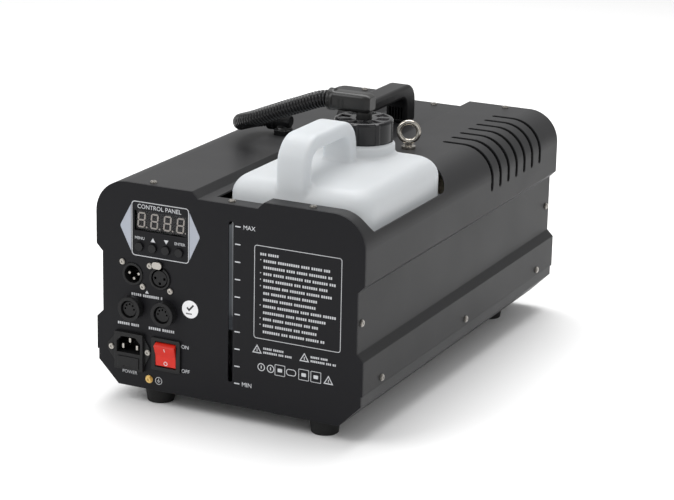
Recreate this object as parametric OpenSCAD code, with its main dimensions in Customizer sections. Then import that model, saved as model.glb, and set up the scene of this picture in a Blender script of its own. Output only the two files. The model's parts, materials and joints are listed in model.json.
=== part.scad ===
// Fog machine with a lift-out fluid bottle, a rear control panel and a heated nozzle.
// Millimetres. X to the right seen from the rear panel, Y from the rear panel to the nozzle, Z up.
// The origin is on the floor, under the middle of the machine.

/* [Case] */
// Width across the cover sleeve
case_w = 260; // [256:1:266]
// Length from the rear panel's face to the nozzle panel's face
case_l = 437; // [434:1:440]
// Height of the case without its feet
case_h = 186; // [184:1:188]
// Thickness of the sheet steel
sheet = 1.5; // [1.2:0.1:1.6]
// Radius of the two top shoulders
shoulder_r = 30; // [28:1:32]
// Depth of the long groove in each side
groove_depth = 6.2; // [5:0.1:7]
// Height of the seam between the sleeve and the base pan
seam_z = 29.5; // [29:0.5:31]
// How far the sockets and the nozzle stand out of the end panels
end_reach = 8; // [7.5:0.5:9]
// Height of the rubber feet
foot_h = 15; // [12:1:18]

/* [Top channel] */
// Half of the channel's width at the top
channel_top = 35; // [33:1:36]
// Depth of the channel
channel_depth = 6; // [5:1:7]

/* [Bottle] */
// Left face of the bottle
bottle_x0 = -15; // [-16:1:-14]
// Right face of the bottle
bottle_x1 = 120; // [118:1:121]
// Rear face of the bottle
bottle_y0 = -198; // [-199:1:-197]
// Far face of the bottle
bottle_y1 = -33; // [-36:1:-33]
// Top of the bottle's body above the case's underside
bottle_top = 198; // [196:1:200]
// Wall of the blow-moulded bottle
bottle_wall = 2; // [1.5:0.1:2.5]
// Centre of the neck and cap, X
cap_x = 54; // [52:1:56]
// Centre of the neck and cap, Y
cap_y = -67; // [-68:1:-66]
// Outer radius of the screw cap
cap_r = 27; // [26.8:0.1:27.2]

/* [Carry handle] */
// Width of the handle
handle_w = 22; // [18:1:26]
// Top of the grip above the case's underside
handle_top = 218; // [214:1:222]

/* [Moving parts] */
// Rise of the screw cap from tight to free
cap_rise = 4.5; // [3:0.5:4.5]
// Angle that the rocker leans to each side of level
rocker_tilt = 11; // [8:1:12]
// Travel of each push button
button_travel = 0.8; // [0.4:0.1:1]

/* [Hidden] */
$fn = 48;

gap = 0.3;
half_w = case_w / 2;
y_rear = -case_l / 2;
y_front = case_l / 2;
panel_in = y_rear + sheet;
diag = sqrt(2) - 1;

groove_top = 126.6;
groove_low = 59.8;
pan_chamfer = 20;
pan_half = half_w - sheet;
flange_len = 12;
flange_in = sheet + gap;

open_x0 = bottle_x0 - 4;
open_x1 = half_w - 2.6;
open_y0 = bottle_y0 - 4;
open_y1 = bottle_y1 + 2;
open_far_r = 27.5;
open_near_r = 8;
open_sill = 168;

vent_count = 7;
vent_y = 53;
vent_pitch = 19.8;
vent_w = 6;
vent_x = 82;
vent_z = 148;

screw_r = 1.5;
screw_head_r = 3.1;
screw_inset = 8.4;
side_screw_z = 92;
top_screw_x = 77;
base_screw_z = 36;
base_screw_ys = [-181, 0, 176];

foot_spots = [[-76.5, -199.5], [86.5, -199.5], [-76.5, 163], [86.5, 163]];
foot_names = ["foot_rear_left", "foot_rear_right", "foot_front_left", "foot_front_right"];

handle_y0 = 5;
handle_y1 = 140.5;
handle_leg = 22;
handle_grip = 12;
handle_bolt_ys = [16, 129.5];
channel_z = case_h - channel_depth;

eye_x = 62;
eye_y = 13;
eye_z = 201.5;
eye_ring_r = 9;
eye_wire_r = 2.3;
eye_stud_r = 4;
eye_turn = 22;

window_x = -66;
window_z = 153.2;
window_w = 51.2;
window_h = 18.4;
digit_pitch = 12.9;
button_names = ["button_menu", "button_up", "button_down", "button_enter"];
button_xs = [-86.1, -72.9, -59.7, -46.5];
button_z = 130;
button_r = 3.7;
pcb_y = y_rear + 11.5;
standoff_l = 10;
display_posts = [[-95, 124.6], [-37.5, 124.6], [-95, 168], [-37.5, 168]];
main_posts = [[-102, -166], [-34, -166], [-102, -54], [-34, -54]];

xlr_male = [-93.3, 103.8];
xlr_female = [-65.8, 103.8];
xlr_r = 10;
xlr_screw_dx = 10.2;
xlr_screw_dz = 10;
tab_spot = [-67.7, 115.7];
pin_turns = [0, 90, 180];
din_left = [-93, 73.5];
din_right = [-60, 73.5];
din_r = 10.8;

iec_x = -96;
iec_z = 34.5;
iec_proud = 4;
ear_t = 1.4;
iec_ear = 18.4;
pin_spots = [[0, 8], [-7, 2], [7, 2]];
drawer_x0 = iec_x - 10.5;
drawer_x1 = iec_x + 10.5;
drawer_z0 = 18;
drawer_z1 = 28;

switch_x = -59.6;
switch_z = 34.8;
rocker_w = 20.2;
rocker_r = 11.4;
rocker_y = y_rear + 3;
rocker_pin_r = 1.5;
earth_spot = [-77, 9.6];
slot_x0 = 1.2;
slot_x1 = 6;
slot_z0 = 21;
slot_z1 = 165.5;

neck_r = 25;
neck_top = 223.5;
cap_z0 = 210.5;
cap_z1 = 230.5;
elbow_r = 8.6;
elbow_z = cap_z1 + cap_rise + elbow_r + 0.2;
elbow_x = 26;
collar_x = 20;
collar_r = 10;
conduit_r = 7.7;
bottle_z0 = 62;
filter_z = bottle_z0 + bottle_wall + 1.5;
strap_x0 = 34.2;
strap_x1 = 62.6;

gland_x = -62;
gland_y = 3;
gland_z = 199;

// Centre line of the conduit from the cap's elbow to the case's gland
conduit_route = [[elbow_x - 1, cap_y, elbow_z], [18, cap_y, elbow_z - 0.2], [12, cap_y, 242.6],
    [4, cap_y, 240], [-8, -66.5, 235.3], [-26, -66, 228.3], [-44, -64.5, 220.9], [-60, -61.5, 214.2],
    [-74, -54, 208.8], [-83, -42, 204.5], [-87.5, -28, 201.6], [-88, -14, 200], [-85, -3, 199.2],
    [-79, 2.4, 199], [-70, 3, 199]];

heater_x = 45;
heater_y0 = 45;
heater_y1 = 185;
heater_z0 = 62;
heater_z1 = 122;
wrap_t = 8;
nozzle_z = 92;

pump_x = -85;
pump_y = 60;
line_r = 3;

// ---- helpers ----

module at_case() translate([0, 0, foot_h]) children();

module slab(x0, x1, y0, y1, z0, z1) translate([x0, y0, z0]) cube([x1 - x0, y1 - y0, z1 - z0]);

module zcyl(x, y, z0, z1, r) translate([x, y, z0]) cylinder(r = r, h = z1 - z0);

module ycyl(x, z, y0, y1, r) translate([x, y1, z]) rotate([90, 0, 0]) cylinder(r = r, h = y1 - y0);

module xcyl(y, z, x0, x1, r) translate([x0, y, z]) rotate([0, 90, 0]) cylinder(r = r, h = x1 - x0);

// Draws a shape given in X and Z, and extrudes it along Y
module extrude_y(y0, y1) translate([0, y1, 0]) rotate([90, 0, 0]) linear_extrude(y1 - y0) children();

// Draws a shape given in Y and Z, and extrudes it along X
module extrude_x(x0, x1) translate([x0, 0, 0]) rotate([90, 0, 90]) linear_extrude(x1 - x0) children();

module rounded(x0, x1, y0, y1, r) {
    translate([x0 + r, y0]) square([x1 - x0 - 2 * r, y1 - y0]);
    translate([x0, y0 + r]) square([x1 - x0, y1 - y0 - 2 * r]);
    for (x = [x0 + r, x1 - r], y = [y0 + r, y1 - r]) translate([x, y]) circle(r);
}

module box2(x0, x1, y0, y1) translate([x0, y0]) square([x1 - x0, y1 - y0]);

// Outline of the sleeve, moved inwards by d
module sleeve_outline(d) {
    w = half_w - d;
    g = w - groove_depth;
    s = [[w, 0], [w, groove_low - diag * d], [g, groove_low + groove_depth - diag * d],
        [g, groove_top - groove_depth + diag * d], [w, groove_top + diag * d], [w, case_h - d],
        [channel_top + diag * d, case_h - d], [channel_top - channel_depth + diag * d, channel_z - d]];
    t = [for (i = [len(s) - 1:-1:0]) [-s[i][0], s[i][1]]];
    c = half_w - shoulder_r;
    intersection() {
        polygon(concat(s, t));
        union() {
            box2(-half_w, half_w, 0, case_h - shoulder_r);
            box2(-c, c, 0, case_h);
            for (m = [-1, 1]) translate([m * c, case_h - shoulder_r]) circle(shoulder_r - d, $fn = 96);
        }
    }
}

// Outline of the base pan's trough, moved inwards by d
module pan_outline(d) {
    w = pan_half - d;
    f = pan_half - pan_chamfer - diag * d;
    k = pan_chamfer + diag * d;
    polygon([[-f, d], [f, d], [w, k], [w, seam_z], [-w, seam_z], [-w, k]]);
}

module panel_outline() {
    intersection() {
        sleeve_outline(0);
        box2(-half_w, half_w, seam_z, case_h);
    }
    pan_outline(0);
}

// Screw with a pan head and a cross recess. It stands on z = 0 and points down.
module pan_screw(head_r, shank_r, len) {
    difference() {
        union() {
            cylinder(r = head_r, h = head_r * 0.35);
            translate([0, 0, head_r * 0.35]) cylinder(r = head_r * 0.8, h = head_r * 0.25);
        }
        for (a = [0, 90]) rotate([0, 0, a + 45])
            translate([-head_r * 0.5, -head_r * 0.1, head_r * 0.25]) cube([head_r, head_r * 0.2, head_r]);
    }
    translate([0, 0, -len]) cylinder(r = shank_r, h = len + 0.1);
}

module hex_nut(r, bore, h) {
    difference() {
        cylinder(r = r, h = h, $fn = 6);
        translate([0, 0, -1]) cylinder(r = bore, h = h + 2);
    }
}

// ---- sheet metal ----

module base_pan() {
    side_len = case_l / 2 - flange_len - sheet - 4;
    w = pan_half - gap;
    at_case() color("dimgray") difference() {
        union() {
            difference() {
                extrude_y(panel_in + gap, -panel_in - gap) pan_outline(0);
                extrude_y(panel_in, -panel_in) {
                    pan_outline(sheet);
                    box2(-pan_half + sheet, pan_half - sheet, seam_z - 2, seam_z + 1);
                }
                slab(-half_w, half_w, y_rear, y_front, seam_z - 0.4, seam_z + 5);
            }
            for (m = [-1, 1]) translate([m * (w - sheet / 2), 0, 0])
                slab(-sheet / 2, sheet / 2, -side_len, side_len, seam_z - 5, 44);
        }
        for (y = base_screw_ys) xcyl(y, base_screw_z, -half_w, half_w, screw_r + 0.1);
        for (s = foot_spots) zcyl(s[0], s[1], -1, sheet + 1, 2.1);
    }
}

module vent_cuts() {
    for (i = [0:vent_count - 1]) {
        y = vent_y + i * vent_pitch;
        slab(vent_x, half_w + 1, y - vent_w / 2, y + vent_w / 2, vent_z, case_h + 1);
        zcyl(vent_x, y, case_h - 10, case_h + 1, vent_w / 2);
        xcyl(y, vent_z, half_w - 10, half_w + 1, vent_w / 2);
    }
}

module bottle_opening() {
    r = open_far_r;
    n = open_near_r;
    translate([0, 0, open_sill]) linear_extrude(40) {
        box2(open_x0, open_x1 - r, open_y0, open_y1);
        box2(open_x0, open_x1 - n, open_y0, open_y1 - r);
        box2(open_x0, open_x1, open_y0 + n, open_y1 - r);
        translate([open_x1 - r, open_y1 - r]) circle(r, $fn = 96);
        translate([open_x1 - n, open_y0 + n]) circle(n);
    }
}

module cover_sleeve() {
    at_case() color([0.30, 0.29, 0.28]) difference() {
        extrude_y(panel_in + 0.2, -panel_in - 0.2) difference() {
            sleeve_outline(0);
            sleeve_outline(sheet);
            box2(-half_w, half_w, -1, seam_z);
        }
        bottle_opening();
        vent_cuts();
        cover_screw_spots() translate([0, 0, -5]) cylinder(r = screw_r + 0.1, h = 6);
        for (y = base_screw_ys) xcyl(y, base_screw_z, -half_w - 1, half_w + 1, screw_r + 0.1);
        for (y = handle_bolt_ys) zcyl(0, y, channel_z - 5, channel_z + 5, 2.8);
        zcyl(eye_x, eye_y, case_h - 5, case_h + 5, eye_stud_r + 0.2);
        zcyl(gland_x, gland_y, case_h - 5, case_h + 5, 8.2);
    }
}

// Puts its child at each cover screw, with the head's seat at z = 0 and outwards up
module cover_screw_spots() {
    for (m = [-1, 1]) {
        y = m * (y_front - screw_inset);
        for (x = [-top_screw_x, top_screw_x]) translate([x, y, case_h]) children();
        translate([0, y, channel_z]) children();
        for (s = [-1, 1]) translate([s * (half_w - groove_depth), y, side_screw_z])
            rotate([0, s * 90, 0]) children();
    }
}

module end_flange() {
    difference() {
        extrude_y(panel_in - 0.1, panel_in + flange_len) difference() {
            sleeve_outline(flange_in);
            sleeve_outline(flange_in + sheet);
            box2(-half_w, half_w, -1, seam_z + 1);
        }
        cover_screw_spots() translate([0, 0, -8]) cylinder(r = screw_r + 0.05, h = 9);
    }
    slab(-95, 95, panel_in - 0.1, panel_in + flange_len, sheet + gap, 2 * sheet + gap);
}

module rear_panel() {
    at_case() color([0.16, 0.16, 0.17]) {
        end_flange();
        extrude_y(y_rear, panel_in) difference() {
            panel_outline();
            box2(window_x - window_w / 2, window_x + window_w / 2,
                window_z - window_h / 2, window_z + window_h / 2);
            for (x = button_xs) translate([x, button_z]) circle(button_r + gap);
            for (s = [xlr_male, xlr_female]) {
                translate(s) circle(xlr_r + gap);
                for (m = [-1, 1]) translate([s[0] + m * xlr_screw_dx, s[1] - m * xlr_screw_dz])
                    circle(screw_r + 0.1);
            }
            for (s = [din_left, din_right]) translate(s) circle(9.3);
            translate(tab_spot) box2(-4.2, 4.2, -3.5, 0);
            box2(drawer_x0 - 1.6, drawer_x1 + 1.6, drawer_z0 - 1.6, iec_z + 14);
            for (m = [-1, 1]) translate([iec_x + m * iec_ear, iec_z]) circle(screw_r + 0.1);
            box2(switch_x - 12.9, switch_x + 12.9, switch_z - 13.3, switch_z + 13.3);
            translate(earth_spot) circle(2.1);
            rounded(slot_x0, slot_x1, slot_z0, slot_z1, 2.3);
        }
    }
}

module front_panel() {
    at_case() color([0.16, 0.16, 0.17]) {
        mirror([0, 1, 0]) end_flange();
        extrude_y(-panel_in, y_front) difference() {
            panel_outline();
            translate([0, nozzle_z]) circle(17);
            for (i = [0:5], z = [145, 155]) rounded(-43 + i * 15, -33 + i * 15, z - 2.5, z + 2.5, 2.4);
        }
    }
}

module bottle_tray() {
    x0 = bottle_x0 - 3.5;
    y0 = bottle_y0 - 2;
    y1 = bottle_y1 + 3;
    t = 1.2;
    z = bottle_z0 - t - gap;
    at_case() color("gray") {
        slab(x0, 122, y0, y1, z, z + t);
        slab(x0, x0 + t, y0, y1, z, 150);
        slab(x0, 120, y1 - t, y1, z, 160);
        for (y = [y0, y1 - t]) slab(x0, 70, y, y + t, sheet + gap, z + t / 2);
    }
}

module vent_mesh() {
    t = 0.8;
    r = shoulder_r - sheet - 0.4;
    cx = half_w - shoulder_r;
    cz = case_h - shoulder_r;
    y0 = vent_y - 10;
    y1 = vent_y + (vent_count - 1) * vent_pitch + 10;
    at_case() color("black") extrude_y(y0, y1) {
        difference() {
            translate([cx, cz]) circle(r, $fn = 96);
            translate([cx, cz]) circle(r - t, $fn = 96);
            box2(0, cx, 0, case_h);
            box2(0, half_w, 0, cz);
        }
        box2(vent_x - 8, cx, cz + r - t, cz + r);
        box2(cx + r - t, cx + r, vent_z - 8, cz);
    }
}

// ---- carry handle, eyebolt, screws and feet ----

module carry_handle() {
    z0 = channel_z;
    inner0 = handle_y0 + handle_leg;
    inner1 = handle_y1 - handle_leg;
    under = handle_top - handle_grip;
    at_case() color([0.10, 0.10, 0.10]) difference() {
        extrude_x(-handle_w / 2, handle_w / 2) difference() {
            union() {
                rounded(handle_y0, handle_y1, z0, handle_top, 17);
                box2(handle_y0, handle_y1, z0, z0 + 18);
            }
            rounded(inner0, inner1, z0 - 20, under, 9);
        }
        for (y = handle_bolt_ys) zcyl(0, y, z0 - 1, z0 + 16, 2.4);
    }
}

module handle_screws() {
    at_case() color("silver") for (y = handle_bolt_ys) {
        zcyl(0, y, channel_z - sheet - 0.1, channel_z + 14, 2.35);
        zcyl(0, y, channel_z - sheet - 3.4, channel_z - sheet - 0.1, 4.5);
    }
}

module eyebolt() {
    at_case() color("silver") translate([eye_x, eye_y, 0]) {
        translate([0, 0, eye_z]) rotate([90, 0, eye_turn])
            rotate_extrude($fn = 64) translate([eye_ring_r, 0]) circle(eye_wire_r, $fn = 32);
        zcyl(0, 0, case_h + 0.1, case_h + 2.5, 6.5);
        zcyl(0, 0, case_h + 2, eye_z - eye_ring_r, 3.2);
        zcyl(0, 0, case_h - 15, case_h + 1, eye_stud_r);
    }
}

module eyebolt_nut() {
    at_case() color("silver") translate([eye_x, eye_y, case_h - sheet - 8.3]) {
        hex_nut(7.5, eye_stud_r + 0.05, 6.5);
        translate([0, 0, 6.5]) difference() {
            cylinder(r = 8.5, h = 1.6);
            translate([0, 0, -1]) cylinder(r = eye_stud_r + 0.2, h = 4);
        }
    }
}

module cover_screws() {
    at_case() color("silver") cover_screw_spots() translate([0, 0, 0.05])
        pan_screw(screw_head_r, screw_r, 5);
}

module base_screws() {
    at_case() color("silver") for (s = [-1, 1], y = base_screw_ys)
        translate([s * (half_w + 0.05), y, base_screw_z]) rotate([0, s * 90, 0])
            pan_screw(screw_head_r, screw_r, 5);
}

module foot(i) {
    s = foot_spots[i];
    color([0.08, 0.08, 0.08]) translate([s[0], s[1], 0]) difference() {
        rotate_extrude() polygon([[0, 0], [11.5, 0], [12, 0.6], [13.8, foot_h - 1], [13.8, foot_h - 0.05],
            [0, foot_h - 0.05]]);
        translate([0, 0, -1]) cylinder(r = 5, h = foot_h - 3);
        cylinder(r = 2.1, h = foot_h + 1);
    }
}

module foot_screws() {
    color("silver") for (s = foot_spots) translate([s[0], s[1], 0]) {
        translate([0, 0, foot_h - 6.5]) cylinder(r = 4, h = 2.45);
        translate([0, 0, foot_h - 4.1]) cylinder(r = 1.95, h = 9);
        translate([0, 0, foot_h + sheet + 0.1]) hex_nut(4, 2, 3);
    }
}

// ---- display board and buttons ----

module display_window() {
    at_case() color([0.2, 0.05, 0.05]) slab(window_x - 28, window_x + 28, panel_in + 0.05, panel_in + 1.4,
        window_z - 11.4, window_z + 11.4);
}

module led_display() {
    y = panel_in + 1.7;
    w = 4 * digit_pitch;
    at_case() color([0.1, 0.1, 0.1]) slab(window_x - w / 2, window_x + w / 2, y, pcb_y - 0.05,
        window_z - 9.5, window_z + 9.5);
}

module display_pcb() {
    at_case() color("darkgreen") extrude_y(pcb_y, pcb_y + 1.6) difference() {
        box2(-98.5, -34, 121, 171.4);
        for (p = display_posts) translate(p) circle(1.2);
    }
}

module standoffs() {
    at_case() color("gold") {
        for (p = display_posts) ycyl(p[0], p[1], panel_in + 0.02, panel_in + standoff_l - 0.02, 2.4);
        for (p = main_posts) zcyl(p[0], p[1], sheet, sheet + standoff_l, 2.4);
    }
}

module tact_switches() {
    at_case() color([0.15, 0.15, 0.15]) for (x = button_xs) difference() {
        slab(x - 3, x + 3, pcb_y - 4, pcb_y - 0.05, button_z - 3, button_z + 3);
        ycyl(x, button_z, pcb_y - 5, pcb_y - 1.2, 1.7);
    }
}

module button(i) {
    x = button_xs[i];
    at_case() color([0.08, 0.08, 0.08]) {
        ycyl(x, button_z, y_rear - 2.2, panel_in + 0.6, button_r);
        ycyl(x, button_z, panel_in + 0.5, panel_in + 1.7, button_r + 1);
        ycyl(x, button_z, panel_in + 1.6, pcb_y - 1.3 - button_travel, 1.6);
    }
}

// ---- signal sockets ----

module xlr_male_socket() {
    c = xlr_male;
    at_case() color([0.1, 0.1, 0.1]) difference() {
        union() {
            ycyl(c[0], c[1], y_rear - 0.8, y_rear + 22, xlr_r);
            slab(c[0] - 13, c[0] + 13, panel_in + 0.05, panel_in + 2, c[1] - 12.5, c[1] + 12.5);
        }
        ycyl(c[0], c[1], y_rear - 3, y_rear + 15, 8);
        for (m = [-1, 1]) ycyl(c[0] + m * xlr_screw_dx, c[1] - m * xlr_screw_dz,
            panel_in - 1, panel_in + 3, screw_r + 0.05);
    }
}

module xlr_pins() {
    c = xlr_male;
    at_case() color("silver") for (a = pin_turns)
        ycyl(c[0] + 4.6 * cos(a), c[1] - 4.6 * sin(a), y_rear + 2, y_rear + 15, 1.2);
}

module xlr_female_socket() {
    c = xlr_female;
    at_case() color([0.1, 0.1, 0.1]) difference() {
        union() {
            ycyl(c[0], c[1], y_rear - 1.4, y_rear + 24, xlr_r);
            slab(c[0] - 13, c[0] + 13, panel_in + 0.05, panel_in + 2, c[1] - 12.5, c[1] + 16);
        }
        difference() {
            ycyl(c[0], c[1], y_rear - 3, y_rear + 13, 8.2);
            ycyl(c[0], c[1], y_rear - 0.6, y_rear + 14, 7);
        }
        for (a = pin_turns)
            ycyl(c[0] + 4.6 * cos(a), c[1] - 4.6 * sin(a), y_rear - 2, y_rear + 12, 1.3);
        slab(tab_spot[0] - 5.6, tab_spot[0] + 5.6, y_rear - 3, panel_in + 8,
            tab_spot[1] - 3.9, tab_spot[1] + 3.9);
        for (m = [-1, 1]) ycyl(c[0] + m * xlr_screw_dx, c[1] - m * xlr_screw_dz,
            panel_in - 1, panel_in + 3, screw_r + 0.05);
    }
}

module xlr_release_tab() {
    at_case() color("silver") {
        extrude_y(y_rear - 3.2, y_rear - 1.2) translate(tab_spot) rounded(-4.8, 4.8, -3.1, 3.1, 3);
        extrude_y(y_rear - 1.3, panel_in + 4) translate(tab_spot) rounded(-3.6, 3.6, -3, -0.4, 1);
    }
}

module xlr_screws() {
    at_case() color("silver") for (c = [xlr_male, xlr_female], m = [-1, 1])
        translate([c[0] + m * xlr_screw_dx, y_rear - 0.05, c[1] - m * xlr_screw_dz])
            rotate([90, 0, 0]) pan_screw(2.6, screw_r, 6);
}

module din_socket(c) {
    at_case() color([0.1, 0.1, 0.1]) difference() {
        union() {
            ycyl(c[0], c[1], y_rear - end_reach, y_rear - 0.05, din_r);
            ycyl(c[0], c[1], y_rear - 0.1, y_rear + 9, 9);
        }
        ycyl(c[0], c[1], y_rear - end_reach - 1, y_rear - end_reach + 1.8, 7.9);
        difference() {
            ycyl(c[0], c[1], y_rear - end_reach, y_rear, 7.9);
            ycyl(c[0], c[1], y_rear - end_reach, y_rear + 1, 6.6);
        }
        for (a = [0:45:180]) ycyl(c[0] + 4.4 * cos(a), c[1] + 4.4 * sin(a), y_rear - end_reach, y_rear, 0.9);
    }
}

module din_socket_left() din_socket(din_left);

module din_socket_right() din_socket(din_right);

// ---- mains inlet, fuse and switch ----

module iec_inlet() {
    x0 = drawer_x0 - 3.8;
    x1 = drawer_x1 + 3.8;
    z0 = drawer_z0 - 2;
    z1 = iec_z + 15.5;
    at_case() color([0.1, 0.1, 0.1]) difference() {
        union() {
            extrude_y(y_rear - iec_proud, y_rear - 0.05) box2(x0, x1, z0, z1);
            extrude_y(y_rear - ear_t, y_rear - 0.05) difference() {
                polygon([[x0, z0 + 5], [iec_x - iec_ear - 4, iec_z - 3], [iec_x - iec_ear - 4, iec_z + 3],
                    [x0, z1 - 3], [x1, z1 - 3], [iec_x + iec_ear + 1.9, iec_z + 3],
                    [iec_x + iec_ear + 1.9, iec_z - 3], [x1, z0 + 5]]);
                for (m = [-1, 1]) translate([iec_x + m * iec_ear, iec_z]) circle(screw_r + 0.1);
            }
            slab(drawer_x0 - 1.4, drawer_x1 + 1.4, y_rear - 1, y_rear + 23, drawer_z0 - 1.4, iec_z + 13.8);
        }
        extrude_y(y_rear - iec_proud - 1, y_rear + 14) translate([iec_x, iec_z])
            polygon([[-12, -3], [12, -3], [12, 7], [7, 12], [-7, 12], [-12, 7]]);
        slab(drawer_x0 - 0.2, drawer_x1 + 0.2, y_rear - iec_proud - 1, y_rear + 20.5,
            drawer_z0 - 0.2, drawer_z1 + 0.2);
    }
}

module iec_pins() {
    at_case() color("silver") for (p = pin_spots) {
        x = iec_x + p[0];
        z = iec_z + p[1];
        slab(x - 1, x + 1, y_rear - 1, y_rear + 14, z - 2, z + 2);
        slab(x - 3, x + 3, y_rear + 23.02, y_rear + 32, z - 0.4, z + 0.4);
    }
}

module iec_screws() {
    at_case() color("silver") for (m = [-1, 1])
        translate([iec_x + m * iec_ear, y_rear - ear_t - 0.05, iec_z])
            rotate([90, 0, 0]) pan_screw(2.6, screw_r, 9);
}

module fuse_drawer() {
    y0 = y_rear - iec_proud - 0.8;
    at_case() color([0.12, 0.12, 0.12]) difference() {
        slab(drawer_x0, drawer_x1, y0, y_rear + 20, drawer_z0, drawer_z1);
        slab(drawer_x0 + 0.8, drawer_x1 - 0.8, y_rear + 2, y_rear + 18, drawer_z0 + 1.2, drawer_z1 + 1);
        slab(iec_x - 5, iec_x + 5, y0 - 1, y0 + 0.6, drawer_z0 - 1, drawer_z0 + 2);
    }
}

module fuse() {
    z = drawer_z0 + 1.2 + 2.8;
    at_case() {
        color("silver") xcyl(y_rear + 6, z, iec_x - 9.6, iec_x - 4.6, 2.6);
        color("silver") xcyl(y_rear + 6, z, iec_x + 4.6, iec_x + 9.6, 2.6);
        color("white") xcyl(y_rear + 6, z, iec_x - 4.7, iec_x + 4.7, 2.4);
    }
}

module switch_frame() {
    w = rocker_w / 2 + gap;
    h = rocker_r + gap;
    at_case() color([0.08, 0.08, 0.08]) difference() {
        union() {
            extrude_y(y_rear - 2, y_rear - 0.05) rounded(switch_x - 14.4, switch_x + 14.4,
                switch_z - 14.8, switch_z + 14.8, 1.5);
            slab(switch_x - 12.7, switch_x + 12.7, y_rear - 1, y_rear + 20, switch_z - 13.1, switch_z + 13.1);
        }
        slab(switch_x - w, switch_x + w, y_rear - 3, y_rear + 15.5, switch_z - h, switch_z + h);
        xcyl(rocker_y, switch_z, switch_x - w - 1.6, switch_x + w + 1.6, rocker_pin_r + 0.05);
    }
}

// The rocker is drawn level about its pin, then leaned with its top end out
module rocker() {
    w = rocker_w / 2;
    at_case() color([0.85, 0.15, 0.10]) translate([0, rocker_y, switch_z]) rotate([rocker_tilt, 0, 0]) {
        translate([switch_x, 0, 0]) extrude_x(-w, w) intersection() {
            circle(rocker_r, $fn = 96);
            polygon([[3, -12], [-7, -12], [-5, 0], [-7, 12], [3, 12]]);
        }
        xcyl(0, 0, switch_x - w - 1.3, switch_x + w + 1.3, rocker_pin_r);
    }
}

module earth_screw() {
    at_case() color("gold") translate([earth_spot[0], y_rear - 0.05, earth_spot[1]])
        rotate([90, 0, 0]) {
            cylinder(r = 3.6, h = 0.6);
            translate([0, 0, 0.6]) pan_screw(3, 2, 10);
        }
}

// ---- bottle and hose ----

module bottle_body(d) {
    x0 = bottle_x0 + d;
    x1 = bottle_x1 - d;
    y0 = bottle_y0 + d;
    y1 = bottle_y1 - d;
    z0 = bottle_z0 + d;
    z1 = bottle_top - d;
    r = 22 - d;
    e = 18 - d;
    foot = 10;
    intersection() {
        translate([0, 0, z0]) linear_extrude(z1 - z0) rounded(x0, x1, y0, y1, r);
        extrude_y(y0, y1) {
            rounded(x0, x1, z0 + 40, z1, e);
            rounded(x0, x1, z0, z1 - 40, foot);
        }
        extrude_x(x0, x1) {
            rounded(y0, y1, z0 + 40, z1, e);
            rounded(y0, y1, z0, z1 - 40, foot);
        }
    }
}

module bottle_strap() {
    extrude_x(strap_x0, strap_x1) difference() {
        rounded(bottle_y0 + 0.6, -96, bottle_top - 24, 238.5, 25);
        rounded(-184.5, -111, bottle_top - 0.5, 222.5, 11);
        box2(-184.5, -90, bottle_top - 30, bottle_top - 3);
        box2(-184.5, -111, bottle_top - 30, bottle_top + 12);
    }
}

module bottle() {
    at_case() color([0.92, 0.94, 0.95]) difference() {
        union() {
            bottle_body(0);
            bottle_strap();
            zcyl(cap_x, cap_y, bottle_top - 2, cap_z0 - 1.5, 28.3);
            zcyl(cap_x, cap_y, bottle_top - 2, neck_top, neck_r);
        }
        bottle_body(bottle_wall);
        zcyl(cap_x, cap_y, bottle_top - 10, neck_top + 1, neck_r - 3);
    }
}

module screw_cap() {
    at_case() color([0.07, 0.07, 0.07]) translate([cap_x, cap_y, cap_z0]) difference() {
        union() {
            cylinder(r = cap_r - 0.6, h = cap_z1 - cap_z0);
            for (a = [-82:45:233]) rotate([0, 0, a])
                translate([cap_r - 2, -2, 0]) cube([1.95, 4, cap_z1 - cap_z0 - 1]);
        }
        translate([0, 0, -1]) cylinder(r = neck_r + gap, h = 227.6 - cap_z0 + 1);
        cylinder(r = 7.3, h = 40);
    }
}

module cap_seal() {
    at_case() color("white") translate([cap_x, cap_y, 226.3]) difference() {
        cylinder(r = neck_r - 0.6, h = 1);
        translate([0, 0, -1]) cylinder(r = 7.6, h = 3);
    }
}

module hose_elbow() {
    at_case() color([0.09, 0.09, 0.09]) difference() {
        union() {
            zcyl(cap_x, cap_y, neck_top + gap, 226, neck_r - 0.7);
            zcyl(cap_x, cap_y, 225, elbow_z, 7);
            xcyl(cap_y, elbow_z, elbow_x - 0.5, cap_x, elbow_r);
            translate([cap_x, cap_y, elbow_z]) sphere(r = elbow_r);
            xcyl(cap_y, elbow_z, collar_x, elbow_x, collar_r);
        }
        xcyl(cap_y, elbow_z, collar_x - 1, elbow_x - 0.5, conduit_r + gap);
        xcyl(cap_y, elbow_z, elbow_x - 1, cap_x - 1, 3.4);
        zcyl(cap_x, cap_y, neck_top - 1, elbow_z - 7, 4.05);
    }
}

module pickup_tube() {
    at_case() color([0.85, 0.87, 0.88]) difference() {
        zcyl(cap_x, cap_y, filter_z + 9, elbow_z - 8, 4);
        zcyl(cap_x, cap_y, filter_z + 8, elbow_z, 2.8);
    }
}

module inlet_filter() {
    at_case() color([0.7, 0.7, 0.7]) difference() {
        zcyl(cap_x, cap_y, filter_z, filter_z + 22, 8);
        zcyl(cap_x, cap_y, filter_z + 8.8, filter_z + 23, 4.05);
        for (h = [4, 7, 12, 15, 18]) translate([cap_x, cap_y, filter_z + h]) difference() {
            cylinder(r = 9, h = 1.2);
            cylinder(r = 6.8, h = 1.2);
        }
    }
}

function lerp3(p, t) = let (n = len(p) - 1, i = min(floor(t), n - 1), f = t - i,
    a = p[max(i - 1, 0)], b = p[i], c = p[i + 1], d = p[min(i + 2, n)])
    0.5 * (2 * b + (c - a) * f + (2 * a - 5 * b + 4 * c - d) * f * f + (3 * b - a - 3 * c + d) * f * f * f);

function unit(v) = v / norm(v);

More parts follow.
